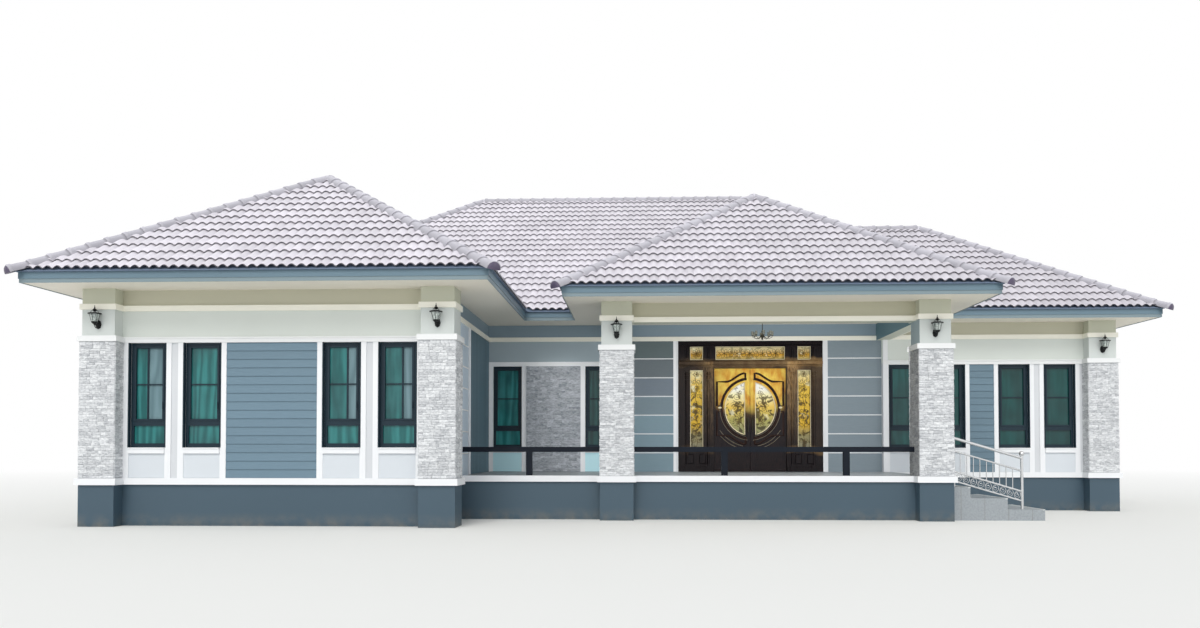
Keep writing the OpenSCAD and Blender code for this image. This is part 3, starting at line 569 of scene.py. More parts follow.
class Finishes:
    """Every finish of the house, made once and shared."""

    PORCH_LOW, PORCH_HIGH = (WING_X - 0.1, -2.5), (0.45, -2.0)
    WING_LOW, WING_HIGH = (WING_X - 0.1, -6.8, 0.7), (-3.3, -4.5, 3.5)

    WALL = BandedPaint("wall_paint", ((0.0, (208, 211, 215)), (2.95, (216, 222, 217)),
                                      (3.5, (196, 194, 174))))
    PORCH = BandedPaint("porch_wall_paint", ((0.0, (168, 181, 184)), (2.95, (168, 183, 191)),
                                             (3.5, (136, 155, 168))))
    # patch on the inner faces of the portico beams: partly their blue-grey paint, partly painted shade
    BEAM = BandedPaint("beam_paint", ((0.0, (206, 208, 192)), (3.5, (192, 190, 168))),
                       patches=(((-0.47, -5.02, 3.0), (4.51, -2.0, 4.0), (90, 121, 132)),))
    # patch: painted shade on the side of the right portico column that faces the porch
    COLUMN = BandedPaint("column_paint", ((0.0, (140, 143, 146)), (2.93, (206, 212, 210)),
                                          (3.5, (196, 198, 180))),
                         patches=(((4.44, -5.6, 2.93), (4.4575, -4.8, 3.425), (164, 182, 190)),))
    PLINTH = BandedPaint("plinth_paint", ((0.0, (58, 79, 92)), (0.05, (62, 83, 97))), 0.5, 0.0022, 0.22)
    TRIM = Paint("white_trim", (233, 235, 238), 0.5, 0.03, 0.0006)
    # patch: painted light, whiter trims in the porch to offset its shade
    WALL_TRIM = BandedPaint("wall_trim_paint", ((0.0, (233, 235, 238)),), 0.5, 0.0006,
                            patches=(((*PORCH_LOW, 0.7), (*PORCH_HIGH, 3.5), (250, 252, 255)),))
    # patch: painted light, whiter battens in the wing's shaded corner
    BATTEN = BandedPaint("batten_paint", ((0.0, (233, 235, 238)),), 0.5, 0.0006,
                         patches=((WING_LOW, WING_HIGH, (255, 255, 255)),))
    # patch: painted light, whiter moulding in the porch to offset its shade
    MOULDING = BandedPaint("moulding_paint", ((0.0, (230, 232, 233)), (3.2, (248, 246, 234))), 0.5, 0.0006,
                           patches=(((*PORCH_LOW, 2.8), (*PORCH_HIGH, 3.1), (250, 252, 255)),))
    # patch: painted light, lighter and bluer sill panels in the porch
    SILL_PANEL = BandedPaint("sill_panel", ((0.0, (208, 214, 220)),), 0.55, 0.0008,
                             patches=(((WING_X, -2.5, 0.7), (*PORCH_HIGH, 1.3), (205, 246, 255)),))
    SOFFIT = Paint("cream_soffit", (236, 230, 217), 0.62, 0.04, 0.0006)
    CEILING = Paint("ceiling_paint", (226, 224, 216), 0.7, 0.04, 0.0008)
    FASCIA = BandedPaint("fascia_paint", ((0.0, (123, 141, 148)), (3.811, (98, 123, 137))), 0.45, 0.0006)
    # fall: painted shade, greyer towards the right wing
    ROOF = Glaze("roof_tile", (230, 226, 234), fall=0.17)
    DECK = Glaze("roof_deck", (104, 120, 142), 0.0, 0.7)
    CAP = Glaze("cap_tile", (220, 218, 228), 0.16, 0.45)
    # painted shade: a darker copy of the cap glaze for the hip ends
    SHADED_CAP_END = Glaze("cap_end", (138, 126, 160), 0.16, 0.45)
    # painted shade on the porch side of the right portico column's stones
    STONE = SplitStone("ledge_stone", (240, 242, 244), (167, 170, 175),
                       shaded_side=((4.39, -5.6, 0.7), (4.4325, -4.9, 2.93)))
    PANEL_STONE = SplitStone("porch_stone", (210, 214, 221), (137, 144, 152))
    # patch: painted shade on the right wing's lap boards
    SIDING = BoardPaint("siding_paint", (102, 128, 144), lap_shadow=0.16,
                        patches=(((6.0, -2.6, 0.0), (7.0, -2.3, 4.0), (97, 122, 137)),))
    UPRIGHT = BoardPaint("upright_siding_paint", (93, 120, 134), (8, 8, 1), 0.2, lap_shadow=0.3, lap_axis="Y",
                         lap_from=-4.588)
    # patches: painted light on the wing's side panel, and rows of painted shade on the porch panel, darker
    # towards the top
    STRIPED = BoardPaint("striped_paint", (134, 148, 157), patches=(
        (WING_LOW, (-3.37, -4.5, 3.5), (206, 222, 236)),
        *stacked((-0.72, -2.5), (0.42, -2.0), (
            (0.7, (134, 159, 171)), (BATTEN_Z[2], (129, 147, 157)), (BATTEN_Z[3], (123, 135, 147)),
            (BATTEN_Z[4], (112, 122, 128)), (BATTEN_Z[5], (100, 114, 117))), 3.5)))
    FRAME = Paint("window_frame", (28, 46, 57), 0.4, 0.08, 0.0004, 0.25)
    PANE_X = WindowPane("window_pane", "X", ((-8.17, -7.85), (-4.93, -4.7), (-4.04, -3.8)))
    PANE_Y = WindowPane("side_window_pane", "Y")
    # painted sheen on the upper leaves, less of it on two strips, and painted shade at the outer edges
    LEAF = LacqueredWood("leaf_wood", ((1.7, 0.0), (1.94, 0.06), (2.06, 0.5), (2.2, 0.88), (2.5, 1.0)),
                         gold=((206, 120, 8), (255, 228, 104)), lean=0.1, strips=((1.5, 1.24), (2.44, 2.69)),
                         gain=-0.3, fade=0.85)
    # painted sheen on the rails and painted reflection streaks on the jambs
    DOOR_FRAME = LacqueredWood(
        "door_frame_wood", ((1.1, 0.0), (1.16, 0.2), (1.24, 0.2), (1.3, 0.02), (1.9, 0.02), (2.6, 0.07),
                            (2.86, 0.1), (2.92, 0.34), (3.02, 0.34), (3.1, 0.0)),
        (9, 8, 14), (32, 21, 22), ((146, 108, 62), (200, 164, 112)), 0.5, ((0.86, 1.21), (3.06, 2.71)),
        gain=0.82, rise=(1.35, 2.9))
    # painted shade: dark wood for the strips laid in the door's grooves
    GROOVE = LacqueredWood("groove_wood", ((0.0, 0.0), (9.0, 0.0)), (22, 12, 10), (54, 28, 18))
    DOOR_GLASS = PatternGlass("door_glass", (
        (1.25, (140, 136, 112)), (1.5, (152, 142, 92)), (1.72, (220, 176, 30)), (2.5, (240, 200, 66)),
        (2.8, (255, 240, 180)), (3.06, (214, 192, 116)), (3.15, (222, 166, 44)), (3.26, (228, 212, 160))))
    LEAF_GLASS = PatternGlass("leaf_glass", (
        (1.5, (138, 142, 106)), (1.82, (176, 168, 88)), (2.08, (238, 200, 84)), (2.32, (255, 246, 188)),
        (2.46, (255, 255, 252))))
    BEAD = Paint("glazing_bead", (244, 230, 190), 0.35, 0.1, 0.0003)
    TRACERY = Metal("tracery_bronze", (104, 80, 34), 0.38, 0.5)
    # painted highlight: carved wood lines in a light bronze, where light catches them
    CARVING_HIGHLIGHT = Metal("carving_bronze", (134, 124, 108), 0.42, 0.3)
    BRONZE = Metal("dark_bronze", (58, 56, 44), 0.4, 0.5)
    BLACK = Paint("black_metal", (14, 18, 20), 0.45, 0.12, 0.0003, 0.3)
    RAIL = Paint("porch_rail_paint", (7, 17, 30), 0.45, 0.1, 0.0005, 0.2)
    STEEL = Metal("stainless", (206, 208, 210), 0.22)
    TILE = FloorTile("porch_tile", (158, 165, 170))
    NOSING = Paint("step_nosing", (196, 200, 200), 0.5, 0.05, 0.001)
    FLOOR = FloorTile("room_floor", (204, 200, 190), 0.6)
    LANTERN = LampGlass("lantern_pane", (206, 216, 210))
    SMOKED = LampGlass("smoked_glass", (136, 136, 118))
    _made: dict[str, bpy.types.Material] = {}

    @classmethod
    def get(cls, finish: object) -> bpy.types.Material:
        """The material of a finish, made at its first use."""
        if finish.name not in cls._made:
            cls._made[finish.name] = finish.make()
        return cls._made[finish.name]


def strip_faces(rows: int, columns: int) -> list[Face]:
    """Quads over a grid of points that are listed row by row."""
    return [(r * columns + i, r * columns + i + 1, (r + 1) * columns + i + 1, (r + 1) * columns + i)
            for r in range(rows - 1) for i in range(columns - 1)]


def ring_faces(rings: int, sides: int, closed: bool = False) -> list[Face]:
    """Quads between rings of points, with both ends filled unless the last ring joins the first."""
    faces = []
    for i in range(rings if closed else rings - 1):
        j = (i + 1) % rings
        for k in range(sides):
            m = (k + 1) % sides
            faces.append((i * sides + k, i * sides + m, j * sides + m, j * sides + k))
    if not closed:
        faces += [tuple(range(sides))[::-1], tuple((rings - 1) * sides + k for k in range(sides))]
    return faces


class Shape:
    """Gathers vertices and faces of one piece in the row frame, in metres."""

    def __init__(self) -> None:
        """Start an empty shape."""
        self.verts: list[Point] = []
        self.faces: list[Face] = []

    def add(self, verts: list, faces: list) -> "Shape":
        """Add a block of vertices and faces."""
        n = len(self.verts)
        self.verts += [tuple(v) for v in verts]
        self.faces += [tuple(i + n for i in f) for f in faces]
        return self

    def box(self, lo: Point, hi: Point, chamfer: float) -> "Shape":
        """Add a box whose edges are cut back by the width of a chamfer."""
        b = bmesh.new()
        bmesh.ops.create_cube(b, size=1.0)
        for v in b.verts:
            v.co = Vector([lo[i] + (v.co[i] + 0.5) * (hi[i] - lo[i]) for i in range(3)])
        bmesh.ops.bevel(b, geom=list(b.edges), offset=chamfer, segments=1, affect="EDGES")
        return self.take(b)

    def take(self, b: bmesh.types.BMesh, matrix: Matrix = Matrix.Identity(4)) -> "Shape":
        """Add a bmesh, moved by a matrix, and free it."""
        b.verts.index_update()
        self.add([matrix @ v.co for v in b.verts], [tuple(v.index for v in f.verts) for f in b.faces])
        b.free()
        return self

    def ball(self, radius: float, u: int, v: int, matrix: Matrix) -> "Shape":
        """Add a ball with u stretches round it and v from pole to pole, shaped by a matrix."""
        b = bmesh.new()
        bmesh.ops.create_uvsphere(b, u_segments=u, v_segments=v, radius=radius)
        return self.take(b, matrix)

    def tube(self, path: list[Point], radius: float, sides: int = 8, closed: bool = False) -> "Shape":
        """Add a round bar along a path.

        Args:
            path: points of the centre line.
            radius: radius of the bar.
            sides: number of sides round the bar.
            closed: whether the last point joins the first.
        Returns:
            This shape.
        """
        pts = [Vector(p) for p in path]
        n = len(pts)
        verts = []
        side = None
        for i, p in enumerate(pts):
            a = pts[(i - 1) % n] if (closed or i) else p
            c = pts[(i + 1) % n] if (closed or i < n - 1) else p
            d = (c - a).normalized()
            if side is None:
                side = d.orthogonal().normalized()
            side = (side - d * side.dot(d)).normalized()
            up = d.cross(side)
            verts += [p + radius * (math.cos(t) * side + math.sin(t) * up)
                      for t in (2 * math.pi * k / sides for k in range(sides))]
        return self.add(verts, ring_faces(n, sides, closed))

    def lathe(self, profile: list[Pair], centre: Point, sides: int = 16) -> "Shape":
        """Add a turned form round an upright axis.

        Args:
            profile: radius and height pairs from the bottom up.
            centre: foot of the axis.
            sides: number of sides.
        Returns:
            This shape.
        """
        x, y, z = centre
        turns = [2 * math.pi * k / sides for k in range(sides)]
        verts = [(x + r * math.cos(t), y + r * math.sin(t), z + h) for r, h in profile for t in turns]
        return self.add(verts, ring_faces(len(profile), sides))

    def mesh(self, name: str) -> bpy.types.Mesh:
        """The gathered shape as a plain mesh."""
        mesh = bpy.data.meshes.new(name)
        mesh.from_pydata(self.verts, [], self.faces)
        mesh.validate()
        return mesh


def place(name: str, mesh: bpy.types.Mesh, finish: object, slot: str, body: str = HOUSE,
          smooth: float | None = None, stands_for: tuple[str, ...] = ()) -> bpy.types.Object:
    """Put a finished mesh in the scene as one piece.

    Args:
        name: name of the piece.
        mesh: its mesh, in the row frame.
        finish: the finish that dresses it.
        slot: material slot of the record; not used.
        body: the body that carries it.
        smooth: angle in degrees below which edges are shaded smooth, or None for flat faces.
        stands_for: CAD nodes that it stands for.
    Returns:
        The new object.
    """
    obj = bpy.data.objects.new(name, mesh)
    bpy.context.scene.collection.objects.link(obj)
    mesh.materials.clear()
    mesh.materials.append(Finishes.get(finish))
    if smooth is not None:
        mesh.shade_smooth()
        mesh.set_sharp_from_angle(angle=math.radians(smooth))
    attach(obj, body)
    if stands_for:
        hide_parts(*stands_for)
    log.info("piece %s: %d faces on %s", name, len(mesh.polygons), body)
    return obj


@dataclass
class Spot:
    """One place where a repeated shape stands."""

    at: Point
    turn: Point = (0.0, 0.0, 0.0)
    size: Point = (1.0, 1.0, 1.0)
    tint: float = 0.5


class Repeater:
    """Geometry Nodes that repeat one shape over spots or over a field."""

    def __init__(self) -> None:
        """Build both trees once."""
        self.spots_tree = self._spots()
        self.field_tree = self._field()

    @staticmethod
    def _start(name: str, **sockets: str) -> tuple[bpy.types.NodeTree, bpy.types.Node, bpy.types.Node]:
        """Make a tree with its named inputs.

        Args:
            name: name of the tree.
            sockets: kind of each input, by its name.
        Returns:
            The tree, its input node and its output node.
        """
        tree = bpy.data.node_groups.new(name, "GeometryNodeTree")
        shared = {"Geometry": "Geometry", "Shape": "Object", "Finish": "Material"}
        for label, kind in {**shared, **sockets}.items():
            tree.interface.new_socket(label, in_out="INPUT", socket_type="NodeSocket" + kind)
        tree.interface.new_socket("Geometry", in_out="OUTPUT", socket_type="NodeSocketGeometry")
        return tree, tree.nodes.new("NodeGroupInput"), tree.nodes.new("NodeGroupOutput")

    @staticmethod
    def _end(tree: bpy.types.NodeTree, start: bpy.types.Node, out: bpy.types.Node,
             source: bpy.types.NodeSocket) -> None:
        """Close a tree with Realize Instances and Set Material."""
        real = tree.nodes.new("GeometryNodeRealizeInstances")
        paint = tree.nodes.new("GeometryNodeSetMaterial")
        tree.links.new(source, real.inputs[0])
        tree.links.new(real.outputs[0], paint.inputs["Geometry"])
        tree.links.new(start.outputs["Finish"], paint.inputs["Material"])
        tree.links.new(paint.outputs[0], out.inputs[0])

    @staticmethod
    def _math(tree: bpy.types.NodeTree, kind: str, a: bpy.types.NodeSocket,
              b: bpy.types.NodeSocket | float) -> bpy.types.NodeSocket:
        """One math node of a tree on a socket and a socket or number."""
        node = tree.nodes.new("ShaderNodeMath")
        node.operation = kind
        tree.links.new(a, node.inputs[0])
        if isinstance(b, float):
            node.inputs[1].default_value = b
        else:
            tree.links.new(b, node.inputs[1])
        return node.outputs[0]

    def _spots(self) -> bpy.types.NodeTree:
        """Tree that sets the shape on points with their own turn and size."""
        tree, start, out = self._start("repeat_on_spots")
        info = tree.nodes.new("GeometryNodeObjectInfo")
        put = tree.nodes.new("GeometryNodeInstanceOnPoints")
        turn, size = (tree.nodes.new("GeometryNodeInputNamedAttribute") for _ in range(2))
        euler = tree.nodes.new("FunctionNodeEulerToRotation")
        for node, label in ((turn, "turn"), (size, "size")):
            node.data_type = "FLOAT_VECTOR"
            node.inputs["Name"].default_value = label
        link = tree.links.new
        link(start.outputs["Geometry"], put.inputs["Points"])
        link(start.outputs["Shape"], info.inputs["Object"])
        link(info.outputs["Geometry"], put.inputs["Instance"])
        link(turn.outputs["Attribute"], euler.inputs[0])
        link(euler.outputs[0], put.inputs["Rotation"])
        link(size.outputs["Attribute"], put.inputs["Scale"])
        self._end(tree, start, out, put.outputs["Instances"])
        return tree

    def _field(self) -> bpy.types.NodeTree:
        """Tree that sets the shape on a level grid, each with a tint from a fixed seed."""
        tree, start, out = self._start("repeat_over_field", **{
            "Columns": "Int", "Rows": "Int", "Column step": "Float", "Row step": "Float", "Seed": "Int"})
        info = tree.nodes.new("GeometryNodeObjectInfo")
        grid = tree.nodes.new("GeometryNodeMeshGrid")
        put = tree.nodes.new("GeometryNodeInstanceOnPoints")
        tint = tree.nodes.new("GeometryNodeStoreNamedAttribute")
        rand = tree.nodes.new("FunctionNodeRandomValue")
        move = tree.nodes.new("GeometryNodeTransform")
        joined = tree.nodes.new("ShaderNodeCombineXYZ")
        link = tree.links.new
        for axis, (count, step) in enumerate((("Columns", "Column step"), ("Rows", "Row step"))):
            less = self._math(tree, "SUBTRACT", start.outputs[count], 1.0)
            span = self._math(tree, "MULTIPLY", less, start.outputs[step])
            link(span, grid.inputs[axis])
            link(start.outputs[count], grid.inputs[2 + axis])
            link(self._math(tree, "MULTIPLY", span, 0.5), joined.inputs[axis])
        link(grid.outputs["Mesh"], move.inputs["Geometry"])
        link(joined.outputs[0], move.inputs["Translation"])
        tint.data_type = "FLOAT"
        tint.domain = "INSTANCE"
        tint.inputs["Name"].default_value = "tint"
        link(start.outputs["Seed"], rand.inputs["Seed"])
        link(start.outputs["Shape"], info.inputs["Object"])
        link(move.outputs[0], put.inputs["Points"])
        link(info.outputs["Geometry"], put.inputs["Instance"])
        link(put.outputs["Instances"], tint.inputs["Geometry"])
        link(rand.outputs[1], tint.inputs["Value"])
        self._end(tree, start, out, tint.outputs["Geometry"])
        return tree

    @staticmethod
    def _run(name: str, base: bpy.types.Mesh, shape: bpy.types.Mesh, tree: bpy.types.NodeTree,
             values: dict[str, object]) -> bpy.types.Mesh:
        """Evaluate a tree and return what it made as a plain mesh.

        Args:
            name: name of the result.
            base: mesh that the modifier sits on.
            shape: the repeated shape.
            tree: the node tree.
            values: value for each named input.
        Returns:
            The realized mesh.
        """
        unit = bpy.data.objects.new(name + "_shape", shape)
        host = bpy.data.objects.new(name + "_host", base)
        for obj in (unit, host):
            bpy.context.scene.collection.objects.link(obj)
        modifier = host.modifiers.new("repeat", "NODES")
        modifier.node_group = tree
        ids = {i.name: i.identifier for i in tree.interface.items_tree
               if i.item_type == "SOCKET" and i.in_out == "INPUT"}
        for label, value in {"Shape": unit, **values}.items():
            modifier[ids[label]] = value
        bpy.context.view_layer.update()
        graph = bpy.context.evaluated_depsgraph_get()
        mesh = bpy.data.meshes.new_from_object(host.evaluated_get(graph))
        mesh.name = name
        host.modifiers.clear()
        for obj in (unit, host):
            bpy.data.objects.remove(obj)
        return mesh

    def on_spots(self, name: str, shape: bpy.types.Mesh, spots: list[Spot], finish: object) -> bpy.types.Mesh:
        """Repeat a shape on a list of spots."""
        base = bpy.data.meshes.new(name + "_spots")
        base.from_pydata([s.at for s in spots], [], [])
        for label in ("turn", "size"):
            attribute = base.attributes.new(label, "FLOAT_VECTOR", "POINT")
            attribute.data.foreach_set("vector", [c for s in spots for c in getattr(s, label)])
        base.attributes.new("tint", "FLOAT", "POINT").data.foreach_set("value", [s.tint for s in spots])
        return self._run(name, base, shape, self.spots_tree, {"Finish": Finishes.get(finish)})

    def put(self, name: str, shape: Shape, spots: list[Spot], finish: object, slot: str,
            **more: object) -> bpy.types.Object:
        """Repeat a shape on spots and place it all as one piece; more goes to place."""
        mesh = self.on_spots(name, shape.mesh(name + "_unit"), spots, finish)
        return place(name, mesh, finish, slot, **more)

    def over_field(self, shape: bpy.types.Mesh, counts: tuple[int, int], step: Pair, seed: int,
                   finish: object) -> bpy.types.Mesh:
        """Repeat a shape over a level grid that starts at the origin."""
        return self._run("field", bpy.data.meshes.new("field_base"), shape, self.field_tree, {
            "Finish": Finishes.get(finish), "Columns": counts[0], "Rows": counts[1], "Column step": step[0],
            "Row step": step[1], "Seed": seed})


def cut_mesh(mesh: bpy.types.Mesh, planes: list[tuple[Point, Point]]) -> None:
    """Keep only what lies on the inner side of every plane.

    Args:
        mesh: the mesh to cut.
        planes: a point and an outward direction for each plane.
    """
    b = bmesh.new()
    b.from_mesh(mesh)
    for point, normal in planes:
        bmesh.ops.bisect_plane(b, geom=b.verts[:] + b.edges[:] + b.faces[:], dist=1e-5,
                               plane_co=point, plane_no=normal, clear_outer=True)
    b.to_mesh(mesh)
    b.free()


def join_meshes(name: str, meshes: list[bpy.types.Mesh]) -> bpy.types.Mesh:
    """Join several meshes, with their tint, into one."""
    b = bmesh.new()
    for mesh in meshes:
        b.from_mesh(mesh)
    out = bpy.data.meshes.new(name)
    b.to_mesh(out)
    b.free()
    return out


def shaded(mesh: bpy.types.Mesh, values: list[float]) -> bpy.types.Mesh:
    """Store how deep in shade each vertex of a tile lies, and return the mesh."""
    mesh.attributes.new("shade", "FLOAT", "POINT").data.foreach_set("value", values)
    return mesh


class Plan:
    """Eaves, hips and ridges of the four roof blocks, seen in plan."""

    WEST, EAST, MAIN_EAST, WING_EAST = -9.77, 9.77, 7.81, -2.49
    SOUTH, FRONT, NORTH, RIGHT_NORTH = -7.84, -3.19, 7.84, 4.09
    PORCH_WEST, PORCH_EAST, PORCH_SOUTH = -1.62, 5.66, -6.17
    RIDGE_Y = 0.45  # the three lower ridges meet the main slopes here
    LEFT_PEAK, LEFT_END = (-6.13, -4.20), (-6.13, RIDGE_Y)
    PORCH_PEAK, PORCH_END = (2.02, -2.53), (2.02, RIDGE_Y)
    RIGHT_PEAK, RIGHT_END = (6.13, RIDGE_Y), (4.17, RIDGE_Y)
    MAIN_LEFT, MAIN_RIGHT = (-4.255, 2.325), (2.295, 2.325)
    PORCH_HEAD, VALLEY = (2.02, 2.325), (4.17, -1.74)
    CORNERS = {"sw": (WEST, SOUTH), "wing": (WING_EAST, SOUTH), "porch_w": (PORCH_WEST, PORCH_SOUTH),
               "porch_e": (PORCH_EAST, PORCH_SOUTH), "nw": (WEST, NORTH), "ne": (MAIN_EAST, NORTH),
               "se": (EAST, FRONT), "right": (EAST, RIGHT_NORTH)}
    HIPS = ((CORNERS["sw"], LEFT_PEAK), (CORNERS["wing"], LEFT_PEAK), (CORNERS["porch_w"], PORCH_PEAK),
            (CORNERS["porch_e"], PORCH_PEAK), (CORNERS["nw"], MAIN_LEFT), (CORNERS["ne"], MAIN_RIGHT),
            (CORNERS["se"], RIGHT_PEAK), (CORNERS["right"], RIGHT_PEAK))
    RIDGES = ((LEFT_END, MAIN_LEFT), (RIGHT_END, MAIN_RIGHT), (LEFT_PEAK, LEFT_END), (PORCH_PEAK, PORCH_END),
              (RIGHT_PEAK, RIGHT_END), (MAIN_LEFT, MAIN_RIGHT))
    HUBS = (LEFT_PEAK, PORCH_PEAK, MAIN_LEFT, MAIN_RIGHT, RIGHT_PEAK, RIGHT_END, LEFT_END)

    @classmethod
    def rise(cls, p: Pair) -> float:
        """How far a plan point on a hip or ridge lies in from its eave."""
        x, y = p
        return max(min(x - cls.WEST, cls.MAIN_EAST - x, y - cls.FRONT, cls.NORTH - y),
                   min(x - cls.WEST, cls.WING_EAST - x, y - cls.SOUTH),
                   min(x - cls.PORCH_WEST, cls.PORCH_EAST - x, y - cls.PORCH_SOUTH),
                   min(cls.EAST - x, y - cls.FRONT, cls.RIGHT_NORTH - y))


@dataclass
class RoofFace:
    """One sloping face of the roof, seen in plan.

    Args:
        eave: a point on its eave.
        rise: direction in which it rises.
        parts: its convex parts, each as corners in turn.
        seed: seed of the tints of its tiles.
    """

    eave: Pair
    rise: tuple[int, int]
    parts: list[list[Pair]]
    seed: int

    def inward(self, p: Pair) -> float:
        """How far a plan point lies in from the eave."""
        return (p[0] - self.eave[0]) * self.rise[0] + (p[1] - self.eave[1]) * self.rise[1]

    def setback(self, a: Pair, b: Pair) -> float:
        """Gap that tiles keep from one edge: none at the eave and where two parts of a face meet."""
        (x0, y0), (x1, y1) = a, b
        if max(abs(self.inward(a)), abs(self.inward(b))) < 1e-6:
            return 0.0
        crosses = min(y0, y1) < 0.5 < max(y0, y1)
        upright = x0 == x1 and abs(x0) < 9 and (crosses or x0 == Plan.RIGHT_END[0])
        level = y0 == y1 == Plan.RIDGE_Y and x0 <= Plan.LEFT_END[0]
        return 0.0 if upright or level else 0.045


def roof_faces() -> dict[str, list[RoofFace]]:
    """The roof faces of each block, split into convex parts in plan."""
    p = Plan
    sw, se, wing, nw, ne, right = (p.CORNERS[k] for k in ("sw", "se", "wing", "nw", "ne", "right"))
    porch_w, porch_e = p.CORNERS["porch_w"], p.CORNERS["porch_e"]
    west_mid = (p.WEST, p.RIDGE_Y)
    front = [[(p.WING_EAST, p.FRONT), (p.PORCH_WEST, p.FRONT), p.PORCH_END, p.PORCH_HEAD,
              p.MAIN_LEFT, p.LEFT_END],
             [p.PORCH_END, p.VALLEY, p.RIGHT_END, p.MAIN_RIGHT, p.PORCH_HEAD],
             [p.VALLEY, (p.PORCH_EAST, p.FRONT), se, p.RIGHT_PEAK, p.RIGHT_END]]
    rear_east = [(p.MAIN_EAST, p.RIGHT_NORTH), ne, p.MAIN_RIGHT, p.RIGHT_END]
    return {
        "main_front": [RoofFace((p.WEST, p.FRONT), (0, 1), front, 1)],
        "main_rear": [RoofFace(ne, (0, -1), [[ne, nw, p.MAIN_LEFT, p.MAIN_RIGHT]], 3),
                      RoofFace((p.MAIN_EAST, p.FRONT), (-1, 0), [rear_east], 4)],
        "left": [RoofFace(nw, (1, 0), [[sw, p.LEFT_PEAK, p.LEFT_END, west_mid],
                                       [west_mid, p.LEFT_END, p.MAIN_LEFT, nw]], 2),
                 RoofFace(sw, (0, 1), [[sw, wing, p.LEFT_PEAK]], 5),
                 RoofFace(wing, (-1, 0), [[wing, (p.WING_EAST, p.FRONT), p.LEFT_END, p.LEFT_PEAK]], 6)],
        "portico": [RoofFace(porch_w, (0, 1), [[porch_w, porch_e, p.PORCH_PEAK]], 7),
                    RoofFace((p.PORCH_WEST, p.FRONT), (1, 0),
                             [[(p.PORCH_WEST, p.FRONT), porch_w, p.PORCH_PEAK, p.PORCH_END]], 8),
                    RoofFace(porch_e, (-1, 0),
                             [[porch_e, (p.PORCH_EAST, p.FRONT), p.PORCH_END, p.PORCH_PEAK]], 9)],
        "right": [RoofFace(se, (-1, 0), [[se, right, p.RIGHT_PEAK]], 10),
                  RoofFace(right, (0, -1),
                           [[right, (p.MAIN_EAST, p.RIGHT_NORTH), p.RIGHT_END, p.RIGHT_PEAK]], 11)],
    }


